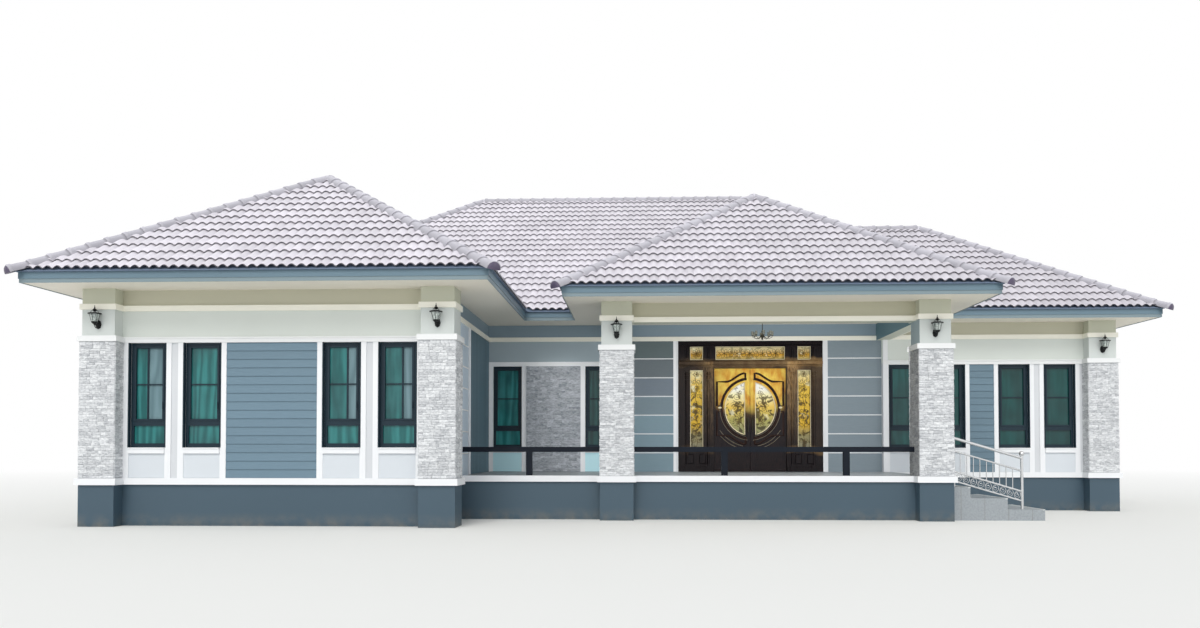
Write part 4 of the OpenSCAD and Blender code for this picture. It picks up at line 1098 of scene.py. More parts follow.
@dataclass
class TiledRoof:
    """Wave tiles on every slope, with half round caps on hips and ridges.

    Args:
        slope: rise over run of every face.
        eave_z: height of the roof plane at the eaves.
        wave, gauge: width of one wave and length of one course.
        crest, step, lip: height of the wave, of the step between courses and of the tile's edge.
        cap_pitch, cap_out, cap_sink: length of a cap, its start past the eave and how deep it sits.
        starts: foot and direction of the lowest cap of each hip, filled in by caps.
    """

    repeat: Repeater
    slope: float = 0.65
    eave_z: float = 3.929
    wave: float = 0.15
    gauge: float = 0.318
    crest: float = 0.034
    step: float = 0.026
    lip: float = 0.013
    cap_pitch: float = 0.3
    cap_out: float = 0.07
    cap_sink: float = 0.03
    starts: list[tuple[Vector, Vector]] = field(default_factory=list)

    def tile(self, stations: int = 8) -> bpy.types.Mesh:
        """One wave tile: its sheet, its lower lip and the underside of the lip."""
        turns = [i / stations for i in range(stations + 1)]
        waves = [self.crest * (0.5 - 0.5 * math.cos(2 * math.pi * (t + 0.06 * math.sin(2 * math.pi * t))))
                 for t in turns]
        lift = self.step + 0.004
        under = (0.05, lift - self.lip - 0.004)
        rows = (under, (0.0, lift - self.lip), (0.0, lift), (0.004, lift + 0.001),
                (self.gauge - 0.05, lift * 0.2), (self.gauge + 0.02, 0.002))
        verts = [(self.wave * t, y, top + z) for y, z in rows for t, top in zip(turns, waves)]
        shades = (1.0, 1.0, 0.1, 0.0, 0.12, 1.0)
        shape = Shape().add(verts, strip_faces(len(rows), stations + 1))
        return shaded(shape.mesh("wave_tile"), [v for v in shades for _ in turns])

    def cover(self, face: RoofFace, tile: bpy.types.Mesh) -> list[bpy.types.Mesh]:
        """Lay tiles over one face and cut them to its parts.

        Args:
            face: the face to cover.
            tile: the tile that is repeated.
        Returns:
            One mesh for each convex part.
        """
        up = Vector((*face.rise, 0))
        along = up.cross(Vector((0, 0, 1)))
        eave = Vector((*face.eave, 0))
        corners = [Vector((x, y, 0)) - eave for part in face.parts for x, y in part]
        first = min(c.dot(along) for c in corners)
        last = max(c.dot(along) for c in corners)
        reach = max(c.dot(up) for c in corners) * math.sqrt(1 + self.slope ** 2)
        counts = int((last - first) / self.wave) + 2, int(reach / self.gauge) + 1
        y_axis = (up + Vector((0, 0, self.slope))).normalized()
        matrix = Matrix.Identity(4)
        for i, row in enumerate(zip(along, y_axis, along.cross(y_axis))):
            matrix[i][0:3] = row
        origin = eave + along * first
        matrix.translation = (origin.x, origin.y, self.eave_z)
        tiles = self.repeat.over_field(tile, counts, (self.wave, self.gauge), face.seed, Finishes.ROOF)
        tiles.transform(matrix)
        made = []
        for part in face.parts:
            piece = tiles.copy()
            planes = []
            for a, b in zip(part, part[1:] + part[:1]):
                edge = Vector((b[0] - a[0], b[1] - a[1], 0)).normalized()
                out = Vector((edge.y, -edge.x, 0))
                back = face.setback(a, b)
                planes.append(((a[0] - out.x * back, a[1] - out.y * back, 0.0), tuple(out)))
            cut_mesh(piece, planes)
            made.append(piece)
        return made

    def cap(self, stations: int = 10) -> bpy.types.Mesh:
        """One half round cap tile with its collar, along X."""
        turns = [math.pi * i / stations for i in range(stations + 1)]
        end = self.cap_pitch
        profile = [(0.03, 0.106), (0.0, 0.11), (0.0, 0.128), (0.014, 0.137), (0.055, 0.136), (0.078, 0.125),
                   (end - 0.05, 0.118), (end - 0.022, 0.117), (end + 0.012, 0.116)]
        verts = [(x, -r * math.cos(t), r * math.sin(t) * 0.94) for x, r in profile for t in turns]
        shape = Shape().add(verts, [f[::-1] for f in strip_faces(len(profile), stations + 1)])
        # painted shade: each cap darker on its flanks than on its top, with a painted shadow band before the
        # next collar
        flank_shade = [0.72 * abs(math.cos(t)) ** 1.3 for t in turns]
        shades = (1.0, 1.0, 0.15, 0.0, 0.1, 0.35, 0.2, 0.8, 1.0)
        return shaded(shape.mesh("cap_tile"), [max(v, w) for v in shades for w in flank_shade])

    def caps(self) -> bpy.types.Mesh:
        """Half round cap tiles along every hip and ridge."""
        sink = Vector((0, 0, self.cap_sink))
        spots: list[Spot] = []
        rng = random.Random(31)
        for i, (a, b) in enumerate(Plan.HIPS + Plan.RIDGES):
            is_hip = i < len(Plan.HIPS)
            foot = Vector((*a, self.height(a)))
            d = Vector((*b, self.height(b))) - foot
            way = d.normalized()
            start = -self.cap_out if is_hip else 0.03
            length = d.length - 0.03 - start
            count = max(1, round(length / self.cap_pitch))
            pace = length / count
            pitch = -math.asin(d.z / d.length)
            for j in range(count):
                p, lean = foot + way * (start + j * pace), pitch
                if is_hip and j == 0:
                    lean = pitch * 0.9
                    level = Vector((d.x, d.y, 0)).normalized()
                    flat = level * math.cos(lean) - Vector((0, 0, math.sin(lean)))
                    p = foot + way * (start + pace) - flat * pace
                    self.starts.append((p - sink, flat))
                spots.append(Spot(tuple(p - sink), (0.0, lean, math.atan2(d.y, d.x)),
                                  (pace / self.cap_pitch, 1, 1), rng.random()))
        return self.repeat.on_spots("ridge_tiles", self.cap(), spots, Finishes.CAP)

    def cap_ends(self) -> bpy.types.Mesh:
        """Domed end pieces that close the lowest cap of every hip."""
        shape = Shape()
        for at, d in self.starts:
            b = bmesh.new()
            bmesh.ops.create_uvsphere(b, u_segments=14, v_segments=8, radius=0.12)
            cut = bmesh.ops.bisect_plane(b, geom=b.verts[:] + b.edges[:] + b.faces[:], plane_co=(0, 0, 0),
                                         plane_no=(0, 0, 1), clear_inner=True)
            rim = [e for e in cut["geom_cut"] if isinstance(e, bmesh.types.BMEdge)]
            bmesh.ops.edgeloop_fill(b, edges=rim)
            turn = Matrix.Rotation(math.atan2(d.y, d.x), 4, "Z") @ Matrix.Rotation(-math.asin(d.z), 4, "Y")
            shape.take(b, Matrix.Translation(at + d * 0.004) @ turn @ Matrix.Diagonal((0.42, 1.0, 0.94, 1)))
        mesh = shape.mesh("cap_ends")
        # painted shade: the whole end piece is stored in full shade
        return shaded(mesh, [1.0] * len(mesh.vertices))

    def height(self, p: Pair) -> float:
        """Height of the roof plane over a plan point on a hip or ridge."""
        return self.eave_z + self.slope * Plan.rise(p)

    def hubs(self) -> bpy.types.Mesh:
        """Domed hub tiles where hips meet a ridge."""
        shape = Shape()
        for p in Plan.HUBS:
            shape.lathe([(0.142, -0.02), (0.144, 0.03), (0.132, 0.078), (0.104, 0.116), (0.056, 0.138),
                         (0.015, 0.142)], (*p, self.height(p) - 0.076))
        return shape.mesh("hub_tiles")

    def build(self) -> None:
        """Build every tiled face and all the caps."""
        tile = self.tile()
        for block, faces in roof_faces().items():
            name = f"{block}_roof_tiles"
            mesh = join_meshes(name, [m for face in faces for m in self.cover(face, tile)])
            place(name, mesh, Finishes.ROOF, "roof_tile", smooth=32)
        place("ridge_tiles", self.caps(), Finishes.CAP, "cap_tile", smooth=40, stands_for=("ridge_caps",))
        place("hub_tiles", self.hubs(), Finishes.CAP, "cap_tile", smooth=50)
        place("cap_ends", self.cap_ends(), Finishes.SHADED_CAP_END, "cap_tile", smooth=50)


@dataclass
class StoneWork:
    """Split ledge stones on the column shafts and on the porch panel.

    Args:
        z0, z1: foot and top of the stones.
        proud: how far a stone may stand out.
        out: how far a corner pier stands out of its walls.
    """

    repeat: Repeater
    z0: float = 0.765
    z1: float = FIELD_TOP
    proud: float = 0.018
    out: float = 0.258
    rng: random.Random = field(default_factory=lambda: random.Random(7))

    def stone(self, nx: int = 3, nz: int = 2) -> Shape:
        """One split stone of unit size: wide along X, out along -Y, with a broken face.

        Args:
            nx: facets along its length.
            nz: facets up its height.
        Returns:
            The stone.
        """
        rng = random.Random(3)
        verts = [(-0.5, 0.3, -0.5), (0.5, 0.3, -0.5), (0.5, 0.3, 0.5), (-0.5, 0.3, 0.5)]
        for j in range(nz + 1):
            for i in range(nx + 1):
                edge = i in (0, nx) or j in (0, nz)
                x = -0.48 + 0.96 * i / nx + (0 if edge else rng.uniform(-0.06, 0.06))
                y = (-0.55 if edge else -0.8) - rng.uniform(0, 0.2)
                verts.append((x, y, -0.46 + 0.92 * j / nz))

        def at(i: int, j: int) -> int:
            """Index of one point of the broken face."""
            return 4 + j * (nx + 1) + i

        faces = [tuple(v + 4 for v in f) for f in strip_faces(nz + 1, nx + 1)]
        faces += [(0, 1, *(at(i, 0) for i in range(nx, -1, -1))), (2, 3, *(at(i, nz) for i in range(nx + 1))),
                  (3, 0, *(at(0, j) for j in range(nz + 1))), (1, 2, *(at(nx, j) for j in range(nz, -1, -1)))]
        return Shape().add(verts, faces)

    def lay(self, start: Point, along: Point, width: float, yaw: float, rows: Pair,
            lengths: Pair) -> list[Spot]:
        """Courses of stones on one upright face.

        Args:
            start: lower left corner of the face, seen from outside.
            along: direction to its right side.
            width: width of the face.
            yaw: turn that makes the stones look out of the face.
            rows: least and greatest height of a course.
            lengths: least and greatest length of a stone.
        Returns:
            The spot of each stone.
        """
        spots = []
        z = start[2]
        while z < self.z1 - 0.004:
            h = self.rng.uniform(*rows)
            if self.z1 - z - h < rows[0] * 0.7:
                h = self.z1 - z
            u = 0.0
            while u < width - 0.002:
                w = self.rng.uniform(*lengths)
                if width - u - w < lengths[0] * 0.8:
                    w = width - u
                split = h > 0.043 and self.rng.random() < 0.25
                for low, share in ((0.0, 0.5), (0.5, 0.5)) if split else ((0.0, 1.0),):
                    c = Vector(start) + Vector(along) * (u + w / 2)
                    depth = self.proud * self.rng.uniform(0.45, 1.0)
                    flip = math.pi if self.rng.random() < 0.5 else 0.0
                    spots.append(Spot((c.x, c.y, z + h * (low + share / 2)), (0.0, flip, yaw),
                                      (w, depth, h * share), self.rng.random()))
                u += w
            z += h
        return spots

    def shaft(self, x0: float, y0: float, way_x: int = 0, way_y: int = 0) -> list[Spot]:
        """Stones round one square shaft.

        Args:
            x0: low X of the shaft.
            y0: low Y of the shaft.
            way_x: way along X that a corner pier looks out, or 0 for a free column.
            way_y: the same along Y.
        Returns:
            The spots of its stones.
        """
        x1, y1 = x0 + PIER_W, y0 + PIER_W
        spans = {"S": (x0, x1), "N": (x0, x1), "W": (y0, y1), "E": (y0, y1)}
        if way_x:
            spans["E" if way_x < 0 else "W"] = (y0, y0 + self.out) if way_y < 0 else (y1 - self.out, y1)
            spans["N" if way_y < 0 else "S"] = (x0, x0 + self.out) if way_x < 0 else (x1 - self.out, x1)
        made = []
        for name, (a, b) in spans.items():
            starts = {"S": (a, y0, (1, 0, 0), 0.0), "N": (b, y1, (-1, 0, 0), math.pi),
                      "W": (x0, b, (0, -1, 0), -math.pi / 2), "E": (x1, a, (0, 1, 0), math.pi / 2)}
            x, y, along, yaw = starts[name]
            made += self.lay((x, y, self.z0), along, b - a, yaw, (0.032, 0.056), (0.06, 0.18))
        return made

    def build(self) -> None:
        """Build the stones of all columns and of the porch panel."""
        spots: list[Spot] = []
        piers = ((WEST_X, FRONT_Y, -1, -1), (WING_X, FRONT_Y, 1, -1), (EAST_X, RIGHT_Y, 1, -1),
                 (WEST_X, REAR_Y, -1, 1), (MAIN_X, REAR_Y, 1, 1), (EAST_X, BACK_Y, 1, 1))
        for x, y, way_x, way_y in piers:
            x0 = x - self.out if way_x < 0 else x + self.out - PIER_W
            y0 = y - self.out if way_y < 0 else y + self.out - PIER_W
            spots += self.shaft(x0, y0, way_x, way_y)
        for x0 in (-0.968, 4.433):
            spots += self.shaft(x0, -5.518)
        stone = self.stone()
        self.repeat.put("column_stones", stone, spots, Finishes.STONE, "column_stone")
        lo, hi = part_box("stone_panel")
        panel = self.lay((lo.x, lo.y, self.z0), (1, 0, 0), hi.x - lo.x, 0.0, (0.03, 0.06), (0.06, 0.2))
        self.repeat.put("porch_panel_stones", stone, panel, Finishes.PANEL_STONE, "panel_stone")
        log.info("laid %d column stones and %d panel stones", len(spots), len(panel))


@dataclass
class Cladding:
    """Lap boards, upright boards and white battens on the painted fields."""

    repeat: Repeater
    proud: float = 0.0138

    def lap_board(self) -> Shape:
        """A board of unit length along X whose lower edge stands proud."""
        out = self.proud
        section = [(-out, 0.0), (-out, 0.012), (-out * 0.25, BOARD), (0.0, BOARD), (0.0, 0.0)]
        n = len(section)
        verts = [(x, y, z) for x in (0.0, 1.0) for y, z in section]
        faces = [(i, n + i, n + (i + 1) % n, (i + 1) % n) for i in range(n)]
        return Shape().add(verts, faces + [tuple(range(n)), tuple(range(2 * n - 1, n - 1, -1))])

    def build(self) -> None:
        """Build the boards and battens in the space of the plain CAD fields."""
        rng = random.Random(12)
        spots = []
        for x0, x1, y in ((-6.862, -5.398, FRONT_Y), (6.313, 6.797, RIGHT_Y)):
            z = BAND_Z
            while z < FIELD_TOP - 0.01:
                size = (x1 - x0, 1, min(BOARD, FIELD_TOP - z) / BOARD)
                spots.append(Spot((x0, y, z), size=size, tint=rng.random()))
                z += BOARD
        self.repeat.put("lap_boards", self.lap_board(), spots, Finishes.SIDING, "siding",
                        stands_for=("siding_panels",))
        upright = Shape().box((0.004, 0.0, 0.0), (BOARD - 0.004, self.proud, 1.0), 0.003)
        spots = []
        y, last = -4.588, -2.312
        while y < last - 0.018:
            size = (min(BOARD, last - y) / BOARD, -1, 3.423 - BAND_Z)
            spots.append(Spot((WING_X, y, BAND_Z), (0, 0, math.pi / 2), size, rng.random()))
            y += BOARD
        mesh = self.repeat.on_spots("upright_boards", upright.mesh("upright_board"), spots, Finishes.UPRIGHT)
        mesh.flip_normals()
        place("upright_boards", mesh, Finishes.UPRIGHT, "siding")
        batten = Shape().box((0.0, -0.022, -0.011), (1.0, 0.0, 0.011), 0.002)
        spots = []
        for z in BATTEN_Z:
            for x0, x1 in ((-0.69, 0.397), (3.523, 4.6)):
                spots.append(Spot((x0, PORCH_Y, z), size=(x1 - x0, 1, 1)))
            spots.append(Spot((WING_X, -6.613, z), (0, 0, math.pi / 2), (1.923, 1, 1)))
        self.repeat.put("white_battens", batten, spots, Finishes.BATTEN, "trim", smooth=30)


@dataclass
class Windows:
    """Sashes, bars, handles and grey sill panels of every window.

    Args:
        half: half the width of an opening.
        z0, z1: foot and head of an opening.
        rail: height of the fixed rail under the sash.
    """

    repeat: Repeater
    half: float = 0.295
    z0: float = 1.245
    z1: float = LOW_MOULD_Z
    rail: float = 1.595

    def spots(self) -> list[Spot]:
        """Middle of each window on its wall face, with the turn of the wall."""
        found = [(x, FRONT_Y, 0.0) for x in (-8.15, -7.255, -5.005, -4.11)]
        found += [(x, PORCH_Y, 0.0) for x in (-3.006, -1.11)]
        found += [(x, RIGHT_Y, 0.0) for x in (5.025, 5.92, 7.19, 8.085)]
        found += [(WEST_X, y, -math.pi / 2) for y in (-4.9, -2.8, 0.3, 3.2, 5.4)]
        found += [(x, y, math.pi / 2) for x, y in ((EAST_X, -0.9), (EAST_X, 1.7), (MAIN_X, 5.1))]
        found += [(x, REAR_Y, math.pi) for x in (-7.2, -4.8, -2.2, 0.3, 2.9, 5.3)]
        return [Spot((x, y, 0.0), (0, 0, turn)) for x, y, turn in found]

    def sash(self, frame: float = 0.046, stile: float = 0.034) -> Shape:
        """Opening sash and bars of one window, looking along -Y from the wall face."""
        shape = Shape()
        x0, x1 = -self.half + frame, self.half - frame
        a, b = x0 + stile, x1 - stile
        lo, hi = self.rail + 0.075, self.z1 - frame
        y0, y1 = 0.05, 0.084
        for u, v, low, high in ((x0, a, lo, hi), (b, x1, lo, hi), (a, b, lo, lo + stile),
                                (a, b, hi - stile, hi)):
            shape.box((u, y0, low), (v, y1, high), 0.003)
        shape.box((a, y0 + 0.014, 2.247), (b, y1, 2.265), 0.002)
        shape.box((x0, y0 + 0.012, self.z0 + frame), (x1, y1, self.z0 + frame + 0.02), 0.002)
        x, out = x1 - stile / 2, y0 - 0.024
        return shape.tube([(x, y0, 1.86), (x, out, 1.86), (x, out, 1.98)], 0.006, 6)

    def casing(self) -> Shape:
        """Thin dark lip that the frame laps over the white boards."""
        shape = Shape()
        h = self.half
        for way in (-1, 1):
            for a, b, back in ((h, h + 0.016, -0.002), (h - 0.005, h, 0.045)):
                x0, x1 = sorted((way * a, way * b))
                shape.box((x0, -0.0215, self.z0), (x1, back, self.z1 - 0.0005), 0.002)
        return shape

    def build(self) -> None:
        """Build the sashes of all windows and the panels below them."""
        spots = self.spots()
        lips = [s for s in spots if s.at[1] != PORCH_Y]
        dark = {"finish": Finishes.FRAME, "slot": "window_frame", "smooth": 30}
        self.repeat.put("window_casings", self.casing(), lips, **dark)
        bars = Shape()
        for x in (-8.178, -4.935, -4.047):
            bars.box((x - 0.012, -6.868, self.rail + 0.109), (x + 0.012, -6.846, self.z1 - 0.08), 0.002)
        place("window_bars", bars.mesh("window_bars"), **dark)
        self.repeat.put("window_sashes", self.sash(), spots, **dark)
        panel = Shape().box((-self.half, -0.012, BAND_Z), (self.half, 0.0, 1.148), 0.003)
        self.repeat.put("sill_panels", panel, spots, Finishes.SILL_PANEL, "wall", smooth=30)
        nose = Shape().box((-self.half, -0.058, 1.222), (self.half, 0.0, 1.2445), 0.006)
        self.repeat.put("sill_noses", nose, spots, Finishes.TRIM, "trim", smooth=30)


def scroll(cx: float, cz: float, r0: float, r1: float, start: float, turns: float,
           steps: int = 18) -> list[Pair]:
    """Points of a flat spiral.

    Args:
        cx: middle along X.
        cz: middle along Z.
        r0: radius at the start.
        r1: radius at the end.
        start: angle at the start in turns.
        turns: how many turns it makes, negative for clockwise.
        steps: number of stretches.
    Returns:
        Points as X and Z pairs.
    """
    out = []
    for i in range(steps + 1):
        t = i / steps
        a = 2 * math.pi * (start + turns * t)
        r = r0 + (r1 - r0) * t
        out.append((cx + r * math.cos(a), cz + r * math.sin(a)))
    return out


@dataclass
class DoorDressing:
    """Beads, dark grooves, tracery and carving of the double door and its fixed frame.

    Args:
        oval_z: height of the middle of the oval.
        oval_a, oval_b: half width and half height of its glass.
        stile: width of the meeting stile of a leaf.
        light_x: distance of the sidelights from the middle of the door.
        light_z: middle height of the top lights.
        half: half the width of the fixed frame.
    """

    oval_z: float = 2.045
    oval_a: float = 0.517
    oval_b: float = 0.551
    stile: float = 0.098
    light_x: float = 1.09
    light_z: float = 3.175
    half: float = 1.465

    def on_leaf(self, side: Side, points: list[Pair], y: float) -> list[Point]:
        """Set points, given outward from the meeting edge and up from the oval's middle, on a leaf."""
        return [(DOOR_X + side.value * (0.004 + x), y, self.oval_z + z) for x, z in points]

    def oval(self, grow: float, low: float = -1.0, high: float = 1.0, steps: int = 30) -> list[Pair]:
        """Points along the half oval of one leaf.

        Args:
            grow: distance outside the edge of the glass.
            low: where the line starts, -1 for the foot of the half oval.
            high: where it ends, 1 for its head.
            steps: number of stretches.
        Returns:
            Points outward from the meeting edge and up from the oval's middle.
        """
        a, b = self.oval_a + grow, self.oval_b + grow
        reach = math.acos((self.stile - grow / 2) / a)
        turns = [reach * (low + (high - low) * i / steps) for i in range(steps + 1)]
        return [(a * math.cos(t), b * math.sin(t)) for t in turns]

    def ogee(self, way: int, g: float = 0.006, steps: int = 14) -> list[Pair]:
        """Points along the groove round the shouldered field over, or under, the oval."""
        left, right, foot, head = self.stile - g, 0.66 + g, 0.064 - g, 0.542 + g
        wave = [(left + (0.382 + 2 * g) * i / steps, head + 0.0875 * (1 + math.cos(math.pi * i / steps)))
                for i in range(steps + 1)]
        points = [(left, 0.6)] + wave + [(right, head), (right, foot), (0.585, foot)]
        return [(x, z * way) for x, z in points]

    @staticmethod
    def flower(shape: Shape, x: float, y: float, z: float, r: float, petals: int = 6) -> None:
        """Add one round flower of loops with a stud in the middle."""
        for k in range(petals):
            a = 2 * math.pi * k / petals
            path = []
            for i in range(16):
                t = math.pi * min(i, 16 - i) / 8 - math.pi / 2
                d, w = r * (0.55 + 0.45 * math.sin(t)), (r if i <= 8 else -r) * 0.26 * math.cos(t)
                path.append((x + d * math.cos(a) - w * math.sin(a), y, z + d * math.sin(a) + w * math.cos(a)))
            shape.tube(path, 0.0032, 5, True)
        shape.ball(r * 0.17, 8, 6, Matrix.Translation((x, y, z)) @ Matrix.Diagonal((1, 0.4, 1, 1)))

    def leaf_tracery(self, side: Side, y: float = -2.22) -> Shape:
        """Stem, scrolls and flowers over the half oval of one leaf."""
        shape = Shape()
        strokes = [[(0.13 + 0.07 * math.sin(i / 14 * 5), -0.38 + 0.76 * i / 14) for i in range(15)]]
        for dz, r, s in ((0.25, 0.075, 1), (0.02, 0.10, -1), (-0.2, 0.085, 1), (-0.33, 0.05, -1)):
            x, start = (0.265, 0.5) if s > 0 else (0.235, 0.25)
            strokes.append(scroll(x, dz, r, r * 0.2, start, 1.4 * s))
            strokes.append(scroll(0.20, dz + 0.09, 0.05, 0.012, 0.0, -1.1 * s, 12))
        for points in strokes:
            shape.tube(self.on_leaf(side, points, y), 0.0046, 5)
        for x, z, r, petals in ((0.29, 0.06, 0.085, 6), (0.22, 0.30, 0.055, 5), (0.23, -0.26, 0.06, 5)):
            self.flower(shape, *self.on_leaf(side, [(x, z)], y)[0], r, petals)
        return shape

    def leaf_lines(self, side: Side, y: float = -2.244) -> Shape:
        """Dark strips round the oval and round both shouldered fields of one leaf, painted shade in the
        grooves.
        """
        shape = Shape().tube(self.on_leaf(side, self.oval(0.064), y), 0.027)
        for way in (-1, 1):
            shape.tube(self.on_leaf(side, self.ogee(way), y), 0.022)
        shape.verts = [(u, y + (v - y) * 0.5, w) for u, v, w in shape.verts]
        return shape

    def leaf_beads(self, side: Side) -> Shape:
        """Pale glazing bead and the small boss at the end of the oval of one leaf."""
        shape = Shape().tube(self.on_leaf(side, self.oval(-0.011), -2.24), 0.0115, closed=True)
        boss = Matrix.Translation(self.on_leaf(side, [(0.61, 0.02)], -2.25)[0])
        return shape.ball(0.026, 12, 8, boss @ Matrix.Diagonal((1.5, 0.6, 0.8, 1)))

    def leaf_carving(self, side: Side) -> Shape:
        """Outer line of the oval and the carved fan in the lower corner of one leaf."""
        # painted highlight: these lines take the light carving finish
        shape = Shape()
        for line, y, radius in ((self.oval(0.092, -1.0, 0.12), -2.2475, 0.0085),
                                (self.oval(0.02, -1.0, 0.0), -2.253, 0.005),
                                (self.oval(0.225, -0.86, -0.38, 14), -2.2425, 0.0085),
                                (self.oval(0.285, -0.82, -0.44, 14), -2.2425, 0.0085)):
            shape.tube(self.on_leaf(side, line, y), radius, 6)
        return shape

    def frame_tracery(self, y: float = -2.2275) -> Shape:
        """Scrolls and flowers over the sidelights and the top lights.

        Args:
            y: depth of the bars' centre lines.
        Returns:
            The whole pattern.
        """
        shape = Shape()

        def stroke(points: list[Pair], radius: float) -> None:
            """Add one stroke of the pattern."""
            shape.tube([(u, y, w) for u, w in points], radius, 5)

        for s in (-1, 1):
            cx = DOOR_X + s * self.light_x
            for i in range(5):
                cz = 1.40 + i * 0.30
                turn = 1.3 if i % 2 else -1.3
                for way, start in ((-1, 0.5), (1, 0.0)):
                    stroke(scroll(cx + way * 0.048, cz, 0.052, 0.012, start, turn * way), 0.0045)
                self.flower(shape, cx, y, cz + 0.15, 0.06)
            stroke([(cx + 0.02 * math.sin(i * 1.1), 1.27 + 1.53 * i / 24) for i in range(25)], 0.004)
            self.flower(shape, cx, y, self.light_z, 0.09, 8)
        for i in range(-2, 3):
            cx = DOOR_X + i * 0.26
            self.flower(shape, cx, y, self.light_z, 0.085 if i % 2 else 0.1)
            for way in (-1, 1):
                cz = self.light_z + 0.03 * way
                stroke(scroll(cx + way * 0.13, cz, 0.06, 0.014, 0.25, 1.2 * way), 0.0044)
        return shape

    def frame_beads(self, w: float = 0.009) -> Shape:
        """Pale glazing beads round the sidelights and the top lights."""
        shape = Shape()
        low, top = (1.25, 2.82), (3.05, 3.30)
        lights = [(s * self.light_x, 0.121, *span) for s in (-1, 1) for span in (low, top)]
        for x, half, z0, z1 in lights + [(0.0, 0.692, *top)]:
            a, b = DOOR_X + x - half, DOOR_X + x + half
            for x0, x1, lo, hi in ((a - w, a, z0 - w, z1 + w), (b, b + w, z0 - w, z1 + w),
                                   (a, b, z0 - w, z0), (a, b, z1, z1 + w)):
                shape.box((x0, -2.288, lo), (x1, -2.2805, hi), 0.002)
        return shape

    def frame_cornice(self, back: float = -2.281) -> Shape:
        """Stepped rails that cross the fixed frame over and under the lights."""
        shape = Shape()
        for z, h, d in ((3.352, 0.07, 0.028), (3.322, 0.022, 0.018), (2.94, 0.07, 0.034),
                        (2.905, 0.026, 0.022), (3.015, 0.02, 0.018)):
            shape.box((DOOR_X - self.half, PORCH_Y - d, z), (DOOR_X + self.half, back, z + h), 0.006)
        for s in (-1, 1):
            a, b = sorted((DOOR_X + s * self.half, DOOR_X + s * 0.745))
            shape.box((a, -2.31, 1.165), (b, back, 1.215), 0.006)
            shape.box((a, -2.30, BAND_Z), (b, back, 0.86), 0.006)
            for px in (DOOR_X + s * 0.905, DOOR_X + s * 1.145):
                x0, x1 = sorted((px, px + s * 0.13))
                shape.box((x0, -2.296, 0.92), (x1, -2.2805, 1.12), 0.012)
        return shape

    def build(self) -> None:
        """Build the dressing of both leaves and of the fixed frame."""
        parts = (("leaf_tracery", self.leaf_tracery, Finishes.TRACERY, "brass"),
                 ("leaf_lines", self.leaf_lines, Finishes.GROOVE, "door_wood"),
                 ("leaf_beads", self.leaf_beads, Finishes.BEAD, "brass"),
                 ("leaf_carving", self.leaf_carving, Finishes.CARVING_HIGHLIGHT, "door_wood"))
        for side in Side:
            for part, made, finish, slot in parts:
                name = f"{part}_{side.name.lower()}"
                place(name, made(side).mesh(name), finish, slot, side.body, smooth=60)
        for name, shape, finish, slot, smooth in (
                ("frame_tracery", self.frame_tracery(), Finishes.TRACERY, "brass", 60),
                ("frame_beads", self.frame_beads(), Finishes.BEAD, "brass", 30),
                ("frame_cornice", self.frame_cornice(), Finishes.DOOR_FRAME, "door_wood", 30)):
            place(name, shape.mesh(name), finish, slot, smooth=smooth)


